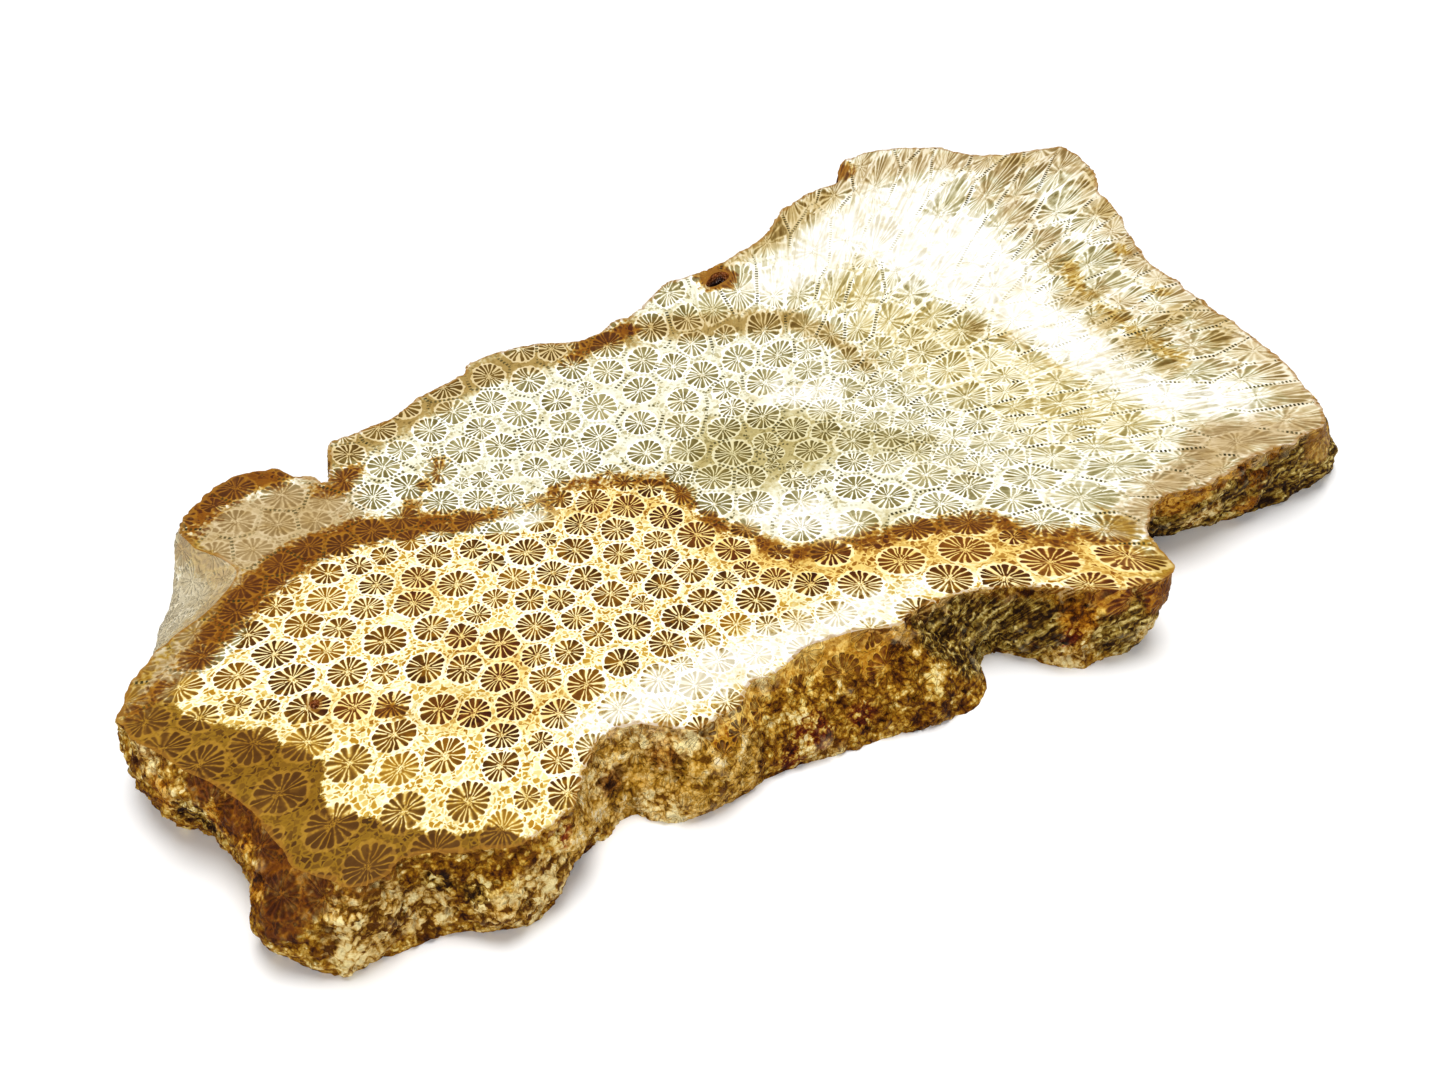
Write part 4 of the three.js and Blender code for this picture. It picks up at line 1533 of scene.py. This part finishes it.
@dataclass
class CoralSlab:
    """The slab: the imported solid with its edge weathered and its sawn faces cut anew."""

    node: bpy.types.Object
    colony: Colony
    name: str = "fossil_coral"
    refinement: int = 2  # times that each face of the broken edge is split in four
    quad_angles: tuple[float, float] = (70, 80)  # bend and skew of the quads, in degrees
    level_margin: float = 1e-4  # how near to a sawn face the solid's own corners lie
    same_point: float = 1e-7  # corners of the solid nearer than this are one, in metres
    joined_point: float = 4e-7  # and those of the rim and a sawn face
    close_point: float = 1e-5  # points nearer than this are one when a face is divided
    grid: float = 1.75  # spacing of the points within a sawn face
    border_step: float = 1.5  # spacing of the points along the corallites' borders
    fineness: int = 1000  # those points are told apart by this part of a millimetre
    ring_room: float = 0.55  # how far points within a sawn face keep from its rim
    lattice_room: float = 0.42  # how far a lattice point keeps from all others, in grids
    soft_angle: float = math.radians(62)  # sharper corners than this stay sharp
    rim_strip: float = 0.7  # the relief grows to its full height within this much of a rim
    least_reach: float = 0.55  # share of the relief that is left at the rim itself
    pocket_relief: float = 0.35  # share of the relief in the small holes
    wall_height: float = 0.16  # how far the corallites' walls stand out of the broken edge
    wall_base: float = 0.35  # share of that height which lies below the mean surface
    wall_crest: float = 0.95  # where a wall is highest, and how wide it is, in radii
    wall_width: float = 0.16
    matrix_start: float = 1.12  # where the stone between the corallites starts, in radii
    sunk_matrix: float = 0.1  # how far that stone is sunk
    smoothing: tuple[tuple[Weather, float], ...] = ((Weather.CLEAN, 0.6), (Weather.GLASSY, 0.8))
    smooth_depths: tuple[float, float] = (-1, 1.5)  # depths at which smoothing starts and is full
    pockets: tuple[tuple[float, float, float], ...] = ((23.3, 40.1, 3.6), (-74.0, 6.7, 2.4))
    off_seed: float = 0.95  # how far the middle of a corallite lies off its seed in the fan
    leaning: tuple[float, float] = (1.2, 2.6)  # stretches between which that grows to its full
    piece: bpy.types.Object = field(init=False)

    def build(self) -> bpy.types.Object:
        """Builds and dresses the slab.

        Returns:
            The finished piece.
        """
        self._copy_edge()
        self._weather_edge()
        self._close(self.colony.thickness, upward=True)
        self._close(0.0, upward=False)
        self._sort_sides()
        self._chart_corallites()
        self._chart_stains()
        self._dress()
        return self.piece

    def _enter(self, *objects: bpy.types.Object) -> None:
        """Selects some objects and nothing else.

        Args:
            objects: the objects, the first of which becomes active.
        """
        bpy.ops.object.select_all(action="DESELECT")
        for each in objects:
            each.select_set(True)
        bpy.context.view_layer.objects.active = objects[0]

    def _merge(self, distance: float) -> None:
        """Merges the piece's vertices that lie close together.

        Args:
            distance: how near counts as one, in metres.
        """
        self._enter(self.piece)
        bpy.ops.object.mode_set(mode="EDIT")
        bpy.ops.mesh.select_all(action="SELECT")
        bpy.ops.mesh.remove_doubles(threshold=distance)
        bpy.ops.object.mode_set(mode="OBJECT")

    def _points(self) -> np.ndarray:
        """The piece's vertices in millimetres."""
        return read(self.piece.data.vertices, "co", 3) / MM

    def _store(self, name: str, domain: str, values: np.ndarray) -> None:
        """Stores a number at every vertex or face of the piece."""
        stored = self.piece.data.attributes.new(name, "FLOAT", domain)
        stored.data.foreach_set("value", values.astype(np.float32))

    def _store_map(self, name: str, values: np.ndarray) -> None:
        """Stores a UV map: two numbers at every corner of the piece's faces."""
        layer = self.piece.data.uv_layers.new(name=name, do_init=False)
        layer.data.foreach_set("uv", values.astype(np.float32).ravel())

    def _copy_edge(self) -> None:
        """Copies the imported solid, opens its sawn faces and splits its edge into fine faces."""
        self.piece = bpy.data.objects.new(self.name, self.node.data.copy())
        mesh = self.piece.data
        mesh.name = self.name
        mesh.materials.clear()
        bpy.context.scene.collection.objects.link(self.piece)
        self._merge(self.same_point)
        bpy.ops.object.mode_set(mode="EDIT")
        bpy.ops.mesh.select_all(action="DESELECT")
        bpy.ops.object.mode_set(mode="OBJECT")
        top = self.colony.thickness * MM
        margin = self.level_margin * MM
        for face in mesh.polygons:
            heights = [mesh.vertices[corner].co.z for corner in face.vertices]
            face.select = min(heights) > top - margin or max(heights) < margin
        bpy.ops.object.mode_set(mode="EDIT")
        bpy.ops.mesh.delete(type="ONLY_FACE")
        bpy.ops.mesh.select_all(action="SELECT")
        bpy.ops.mesh.delete_loose(use_verts=True, use_edges=True, use_faces=False)
        bpy.ops.mesh.select_all(action="SELECT")
        bend, skew = (math.radians(angle) for angle in self.quad_angles)
        bpy.ops.mesh.tris_convert_to_quads(face_threshold=bend, shape_threshold=skew)
        bpy.ops.object.mode_set(mode="OBJECT")
        split = self.piece.modifiers.new("split", "SUBSURF")
        split.levels = self.refinement
        split.render_levels = self.refinement
        bpy.ops.object.modifier_apply(modifier=split.name)
        bpy.ops.object.shade_smooth()
        LOG.info("edge split into %d faces", len(self.piece.data.polygons))

    def _weather_edge(self) -> None:
        """Crumbles the edge, and etches the corallites into it. The rims stay level."""
        colony = self.colony
        points = self._points()
        vertices = self.piece.data.vertices
        normals = read(vertices, "normal", 3)
        top = colony.thickness
        rim = np.minimum(points[:, 2], top - points[:, 2])
        free = smooth_step(rim, 0, self.rim_strip)
        on_top = colony.to_top(points[:, :2], points[:, 2])
        cells = colony.cell_of(on_top)[:, 0]
        out = np.linalg.norm(colony.local(on_top, cells), axis=1) / colony.radii[cells]
        wall = np.exp(-(((out - self.wall_crest) / self.wall_width) ** 2)) - self.wall_base
        worn = np.array([self._crumbs(point) for point in points])
        relief = worn + self.wall_height * wall - self.sunk_matrix * (out > self.matrix_start)
        smooth = [
            share * smooth_step(weather_depth(weather, points), *self.smooth_depths)
            for weather, share in self.smoothing
        ]
        relief *= 1 - np.max(smooth, axis=0)
        pocket = self._in_pocket(points, normals)
        relief = np.where(pocket, self.pocket_relief * relief, relief)
        reach = np.where(pocket, free, np.maximum(free, self.least_reach))
        step = normals * (relief * reach)[:, None]
        step[:, 2] *= free
        moved = points + step
        moved[:, 2] = np.clip(moved[:, 2], 0, top)
        level = rim < self.level_margin
        moved[level, 2] = points[level, 2]
        vertices.foreach_set("co", (moved * MM).astype(np.float32).ravel())
        self.piece.data.update()
        self._store(Chart.RELIEF, "POINT", relief)

    @staticmethod
    def _crumbs(point: np.ndarray) -> float:
        """How far crumbs and pits move a point of the edge along its normal, in millimetres.

        Args:
            point: the point in millimetres.

        Returns:
            The way to move, below 0 inwards.
        """
        place = Vector(point)
        humps = noise.noise(place * 0.17)
        spacing, blocks = noise.voronoi(place * 0.36 + Vector((0.4, 0.1, 0.7)) * humps)
        block = noise.noise(blocks[0] * 2.7)
        crumbs = noise.fractal(place * 0.62, 0.7, 2.1, 5, noise_basis="PERLIN_ORIGINAL")
        crack = max(0.0, 1 - abs(noise.noise(place * 0.31 + Vector((7, 3, 1)))) / 0.07)
        holes = noise.voronoi(place * 0.42)[0]
        pit = max(0.0, 1 - holes[0] / 0.3) * (noise.noise(place * 0.12) > 0.02)
        seam = max(0.0, 1 - (spacing[1] - spacing[0]) / 0.12)
        dents = 0.7 * pit * pit * (3 - 2 * pit) + 0.4 * crack + 0.22 * seam
        return 0.55 * humps + 0.5 * block + 0.4 * crumbs - dents

    def _in_pocket(self, points: np.ndarray, normals: np.ndarray) -> np.ndarray:
        """Which points lie in one of the small holes of the polished face.

        Args:
            points: places on the slab, in millimetres.
            normals: the way the surface faces at each of them.

        Returns:
            One truth value for each point.
        """
        found = np.zeros(len(points), bool)
        for x, y, radius in self.pockets:
            away = points[:, :2] - (x, y)
            inward = (away * normals[:, :2]).sum(axis=1) < 0.3
            found |= inward & (np.hypot(away[:, 0], away[:, 1]) < radius)
        return found & (points[:, 2] > self.colony.thickness / 2)

    def _rim(self, height: float) -> tuple[np.ndarray, np.ndarray]:
        """The open edges of the piece at one height.

        Args:
            height: the height of a sawn face, in millimetres.

        Returns:
            Points of the rim seen from above, and pairs of them that an edge joins.
        """
        mesh = self.piece.data
        points = self._points()
        uses = np.bincount(read(mesh.loops, "edge_index", kind=int), minlength=len(mesh.edges))
        ends = read(mesh.edges, "vertices", 2, int)
        level = np.abs(points[ends, 2] - height).max(axis=1) < LEVEL
        used, pairs = np.unique(ends[(uses == 1) & level], return_inverse=True)
        return points[used][:, :2], pairs.reshape(-1, 2)

    def _net(self, upward: bool) -> list[np.ndarray]:
        """The borders between the corallites, each as a row of points along it.

        Args:
            upward: True for the polished face, and False for the underside.

        Returns:
            One array of points for each border.
        """
        nets, joins = self.colony.cell_borders()
        if not upward:
            nets = self.colony.to_foot(nets)
        chains: list[np.ndarray] = []
        for one, two in joins:
            first, last = nets[one], nets[two]
            steps = max(1, math.ceil(np.linalg.norm(last - first) / self.border_step))
            chains.append(first + np.linspace(0, 1, steps + 1)[:, None] * (last - first))
        return chains

    def _lattice(self, rim: np.ndarray) -> np.ndarray:
        """Evenly spread points over the box round a rim.

        Args:
            rim: points of the rim.

        Returns:
            The points, one row each.
        """
        low, high = rim.min(axis=0), rim.max(axis=0)
        rows = np.arange(low[1], high[1], self.grid * math.sqrt(0.75))
        across = np.arange(low[0], high[0], self.grid)
        shifts = [self.grid / 2 * (row % 2) for row in range(len(rows))]
        return np.array([(x + shift, y) for shift, y in zip(shifts, rows) for x in across])

    def _thread(
        self, chains: list[np.ndarray], kept: np.ndarray, points: list[Point], edges: list[Pair]
    ) -> None:
        """Adds some points of the net to a face, with an edge from each to the next.

        Args:
            chains: the borders of the net, each as a row of points.
            kept: which points to add, for all the borders in one row.
            points: the points of the face, which grow.
            edges: the pairs of them that an edge joins, which grow.
        """
        names: dict[Pair, int] = {}
        marks = iter(kept)
        for chain in chains:
            before = -1
            for point, wanted in zip(chain, marks):
                if not wanted:
                    before = -1
                    continue
                key = (round(point[0] * self.fineness), round(point[1] * self.fineness))
                if key not in names:
                    names[key] = len(points)
                    points.append(tuple(point))
                if before >= 0 and before != names[key]:
                    edges.append((before, names[key]))
                before = names[key]

    def _close(self, height: float, upward: bool) -> None:
        """Closes a sawn face, with faces that follow the borders between the corallites.

        Args:
            height: the height of the face, in millimetres.
            upward: True if the face looks up.
        """
        rim, sides = self._rim(height)
        starts, ends = rim[sides[:, 0]], rim[sides[:, 1]]
        points = [tuple(point) for point in rim]
        edges = [tuple(int(end) for end in side) for side in sides]
        chains = self._net(upward)
        stacked = np.concatenate(chains)
        inner = encloses(stacked, starts, ends) & (clearance(stacked, tree_of(rim)) > self.ring_room)
        self._thread(chains, inner, points, edges)
        lattice = self._lattice(rim)
        lattice = lattice[encloses(lattice, starts, ends)]
        room = clearance(lattice, tree_of(np.array(points)))
        points.extend(tuple(point) for point in lattice[room > self.grid * self.lattice_room])

        # Triangles between all these points, facing one way.
        flat = [Vector(point) for point in points]
        made = delaunay_2d_cdt(flat, edges, [], 0, self.close_point, False)
        corners = np.array([tuple(point) for point in made[0]])
        faces = np.array(made[2])
        faces = faces[encloses(corners[faces].mean(axis=1), starts, ends)]
        a, b, c = (corners[faces[:, index]] for index in range(3))
        turned = (b - a)[:, 0] * (c - a)[:, 1] - (b - a)[:, 1] * (c - a)[:, 0]
        sound = np.abs(turned) > SLIVER
        faces = faces[sound]
        wrong = (turned[sound] > 0) != upward
        faces[wrong] = faces[wrong][:, ::-1]
        self._join_face(corners, faces, height)

    def _join_face(self, corners: np.ndarray, faces: np.ndarray, height: float) -> None:
        """Joins a level face to the piece along its rim.

        Args:
            corners: the corners of its triangles, seen from above.
            faces: the triangles, as the numbers of their corners.
            height: the height of the face, in millimetres.
        """
        heights = np.full((len(corners), 1), height)
        mesh = bpy.data.meshes.new("sawn_face")
        mesh.from_pydata((np.hstack([corners, heights]) * MM).tolist(), [], faces.tolist())
        cap = bpy.data.objects.new("sawn_face", mesh)
        bpy.context.scene.collection.objects.link(cap)
        self._enter(self.piece, cap)
        bpy.ops.object.join()
        self._merge(self.joined_point)
        LOG.info("sawn face at %.1f mm closed with %d faces", height, len(faces))

    def _face_layout(self) -> tuple[np.ndarray, np.ndarray, np.ndarray]:
        """How many corners each face has, the vertex of each corner and the face of each corner.

        Returns:
            The number for each face, and then the two for each corner.
        """
        mesh = self.piece.data
        totals = read(mesh.polygons, "loop_total", kind=int)
        vertices = read(mesh.loops, "vertex_index", kind=int)
        return totals, vertices, np.repeat(np.arange(len(totals)), totals)

    def _sort_sides(self) -> None:
        """Gives every face its finish, and smooths the edge but not its corners."""
        faces = self.piece.data.polygons
        totals, vertices, owner = self._face_layout()
        heights = self._points()[vertices, 2]
        low = np.full(len(totals), np.inf)
        high = -low
        np.minimum.at(low, owner, heights)
        np.maximum.at(high, owner, heights)
        pocket = self._in_pocket(read(faces, "center", 3) / MM, read(faces, "normal", 3))
        side = np.full(len(totals), Side.BROKEN)
        side[pocket] = Side.POCKET
        side[low > self.colony.thickness - LEVEL] = Side.POLISHED
        side[high < LEVEL] = Side.SAWN
        faces.foreach_set("material_index", side)
        self._enter(self.piece)
        bpy.ops.object.shade_smooth_by_angle(angle=self.soft_angle)
        flat = (side == Side.POLISHED) | (side == Side.SAWN)
        faces.foreach_set("use_smooth", read(faces, "use_smooth", kind=bool) & ~flat)

    def _chart_corallites(self) -> None:
        """Charts which corallite every face belongs to, and where in it each corner lies."""
        colony = self.colony
        points = self._points()
        totals, vertices, owner = self._face_layout()
        corners = colony.to_top(points[:, :2], points[:, 2])[vertices]
        middles = np.stack([np.bincount(owner, corners[:, axis]) / totals for axis in (0, 1)], 1)
        near = colony.cell_of(middles, runners=3)
        cells = near[:, 0]
        own = colony.local(corners, cells[owner])
        # Where the tubes lean, the middle of a corallite lies off its seed.
        leaning = smooth_step(colony.stretch[cells], *self.leaning)
        own[:, 0] += (self.off_seed * leaning * (0.4 + colony.chance[cells, 3]))[owner]
        self._store_map(Chart.CORALLITE, own)
        others, ahead = self._chart_borders(corners, middles, near, owner)
        self._chart_traits(middles, cells, others, ahead)

    def _chart_borders(
        self, corners: np.ndarray, middles: np.ndarray, near: np.ndarray, owner: np.ndarray
    ) -> tuple[np.ndarray, np.ndarray]:
        """Charts how far each corner lies from the borders round its corallite.

        Args:
            corners: the corners of the faces, at the level of the polished face.
            middles: the middles of the faces there.
            near: the corallite of each face and its next nearest ones.
            owner: the face of each corner.

        Returns:
            For each face, the corallite across the nearest border and the way along that border.
        """
        colony = self.colony
        cells = near[:, 0]
        borders = [colony.border(cells, runner) for runner in near[:, 1:].T]
        rooms = [
            (limit - (middles * normal).sum(axis=1)) / colony.local_steepness(normal, cells)
            for normal, limit in borders
        ]
        nearest = np.argsort(np.stack(rooms, axis=1), axis=1)[:, :2]
        pick = np.arange(len(cells))[:, None]
        normals, limits = (np.stack(parts, axis=1)[pick, nearest] for parts in zip(*borders))
        room = limits[owner] - (corners[:, None] * normals[owner]).sum(axis=2)
        steep = [colony.local_steepness(normals[:, place], cells) for place in (0, 1)]
        length = np.linalg.norm(normals[:, 0], axis=1)
        unit = normals[:, 0] / length[:, None]
        others = near[pick[:, 0], 1 + nearest[:, 0]]
        between = (colony.seeds[cells] + colony.seeds[others]) / 2
        ahead = np.stack([-unit[:, 1], unit[:, 0]], axis=1)
        along = ((corners - between[owner]) * ahead[owner]).sum(axis=1)
        self._store_map(Chart.SEAM, np.stack([along, room[:, 0] / length[owner]], axis=1))
        self._store_map(Chart.WALLS, room / np.stack(steep, axis=1)[owner])
        return others, ahead

    def _chart_traits(
        self, middles: np.ndarray, cells: np.ndarray, others: np.ndarray, ahead: np.ndarray
    ) -> None:
        """Charts what the corallite of each face is like, and whether beads line its border.

        Args:
            middles: the middles of the faces, at the level of the polished face.
            cells: the corallite of each face.
            others: the corallite across the nearest border.
            ahead: the way along that border.
        """
        colony = self.colony
        chance = colony.chance[cells]
        fan = colony.fan_share(middles)
        outside_gold = np.minimum(stain_depth("bronze", middles), -stain_depth("gold", middles))
        crowded = smooth_step(outside_gold, -1.5, 2.5)
        # Wide corallites and those of the fan have more septa, and their number is even.
        septa = (colony.radii[cells] * 4.8 + 3.5 + 3 * (chance[:, 2] - 0.5)) * (1 + 0.3 * fan)
        # Beads line some borders, and in the fan most of those that run along the tubes.
        pair_chance = np.abs(np.modf(np.sin((cells + 1.7) * (others + 1.7)) * 437.5)[0])
        in_fan = np.abs((ahead * colony.along[cells]).sum(axis=1)) ** 8
        leaning = smooth_step(colony.stretch[cells], 1.02, 1.5)
        beads = np.where(pair_chance > 0.4, 0.6, 0.1)
        beads = beads * (1 - 0.7 * leaning) + leaning * in_fan * (pair_chance > 0.2)
        for chart, values in (
            (Chart.RADIUS, colony.radii[cells]),
            (Chart.SEPTA, 2 * np.round(septa / 2)),
            (Chart.CHANCE, chance[:, 0]),
            (Chart.SECOND_CHANCE, chance[:, 1]),
            (Chart.FILL, np.maximum(fan, 0.45 * crowded)),
            (Chart.FAN, fan),
            (Chart.BEADS, np.clip(beads * (1 - crowded), 0, 1)),
        ):
            self._store(chart, "FACE", values)

    def _corner_vertices(self, height: float) -> np.ndarray:
        """The vertices round a sawn face, where it meets the edge.

        Args:
            height: the height of the face, in millimetres.

        Returns:
            Their numbers, once for each face that they belong to.
        """
        _, vertices, owner = self._face_layout()
        side = read(self.piece.data.polygons, "material_index", kind=int)[owner]
        steep = (side == Side.BROKEN) | (side == Side.POCKET)
        heights = self._points()[vertices, 2]
        return vertices[steep & (np.abs(heights - height) < LEVEL)]

    def _chart_stains(self) -> None:
        """Charts how deep inside each kind of stain and of weathering every vertex lies."""
        points = self._points()
        top = self.colony.thickness
        inset = np.zeros(len(points))
        for height in (0.0, top):
            level = np.flatnonzero(np.abs(points[:, 2] - height) < LEVEL)
            rim = points[np.unique(self._corner_vertices(height))][:, :2]
            inset[level] = clearance(points[level][:, :2], tree_of(rim))
        charts: dict[str, np.ndarray] = {
            Chart.DROP: top - points[:, 2],
            Chart.INSET: np.minimum(inset, FAR_INSIDE),
        }
        for mineral in MINERALS:
            charts[f"stain_{mineral.name}"] = stain_depth(mineral.name, points[:, :2])
        for weather in Weather:
            charts[weather] = weather_depth(weather, points)
        for name, values in charts.items():
            self._store(name, "POINT", values)

    def _dress(self) -> None:
        """Makes the finishes and puts them on the piece, in the order of the sides."""
        border = border_group()
        section = SectionBench(flower_group(), stone_group(border)).draw()
        edge = BrokenEdge(section, border)
        for finish in (PolishedFace(section), SawnFace(section), edge, LinedPocket()):
            self.piece.data.materials.append(finish.material())


# ---------------- the studio


@dataclass
class Studio:
    """A plain pale floor, soft light and the camera."""

    floor_size: float = 6.0
    floor_gap: float = 0.02 * MM  # the floor lies this far below the slab's underside
    camera_place: tuple[float, float, float] = (-129.472 * MM, -133.815 * MM, 184.472 * MM)
    camera_heading: tuple[float, float] = (0.6626, 0.7490)
    camera_dip: float = math.radians(45)
    lens: float = 43.6
    surround: float = 0.36  # strength of the light from all sides
    lamps: tuple[tuple[str, tuple[float, float, float], float, float], ...] = (
        ("overhead", (0.12, 0.16, 1.7), 1.0, 27.0),
        ("front", (-0.7, -0.8, 0.6), 0.8, 5.0),
    )  # name, place and width in metres, and power in watts

    def build(self) -> None:
        """Makes the floor, the lights and the camera."""
        self._floor()
        self._lights()
        self._camera()

    def _floor(self) -> None:
        """Adds the floor."""
        bpy.ops.object.select_all(action="DESELECT")
        bpy.ops.mesh.primitive_plane_add(size=self.floor_size, location=(0, 0, -self.floor_gap))
        floor = bpy.context.object
        floor.name = "studio_floor"
        bench = MaterialBench("pale_floor")
        bench.shade(tint("F6F6F6"), 0.9)
        floor.data.materials.append(bench.material)

    def _lights(self) -> None:
        """Adds a dim white surround and two broad lamps that point at the slab."""
        scene = bpy.context.scene
        world = bpy.data.worlds.new("surround")
        world.use_nodes = True
        background = world.node_tree.nodes["Background"]
        background.inputs["Color"].default_value = (1, 1, 1, 1)
        background.inputs["Strength"].default_value = self.surround
        scene.world = world
        for name, place, size, power in self.lamps:
            light = bpy.data.lights.new(name, "AREA")
            light.shape = "DISK"
            light.size = size
            light.energy = power
            lamp = bpy.data.objects.new(name, light)
            lamp.location = place
            lamp.rotation_mode = "QUATERNION"
            lamp.rotation_quaternion = (-Vector(place)).to_track_quat("-Z", "Y")
            scene.collection.objects.link(lamp)
        scene.view_settings.view_transform = "Standard"

    def _camera(self) -> None:
        """Adds the camera."""
        data = bpy.data.cameras.new("camera")
        data.lens = self.lens
        data.sensor_width = 36
        data.clip_start = 0.01
        camera = bpy.data.objects.new("camera", data)
        camera.location = self.camera_place
        turn = -math.atan2(*self.camera_heading)
        camera.rotation_euler = (math.pi / 2 - self.camera_dip, 0, turn)
        bpy.context.scene.collection.objects.link(camera)
        bpy.context.scene.camera = camera


def report(piece: bpy.types.Object) -> None:
    """Logs what a finished piece holds.

    Args:
        piece: the piece.
    """
    mesh = piece.data
    triangles = len(mesh.loops) - 2 * len(mesh.polygons)
    LOG.info("%s: %d faces, %d triangles", piece.name, len(mesh.polygons), triangles)


def main() -> None:
    """Builds the slab and the studio."""
    logging.basicConfig(level=logging.INFO, format="%(name)s: %(message)s")
    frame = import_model()
    node = frame["nodes"][NODE]
    _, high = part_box(NODE)
    colony = Colony(thickness=high.z / MM)
    LOG.info("colony of %d corallites", len(colony.seeds))
    slab = CoralSlab(node, colony).build()
    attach(slab, BODY)
    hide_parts(NODE)
    report(slab)
    Studio().build()


if __name__ == "__main__":
    main()
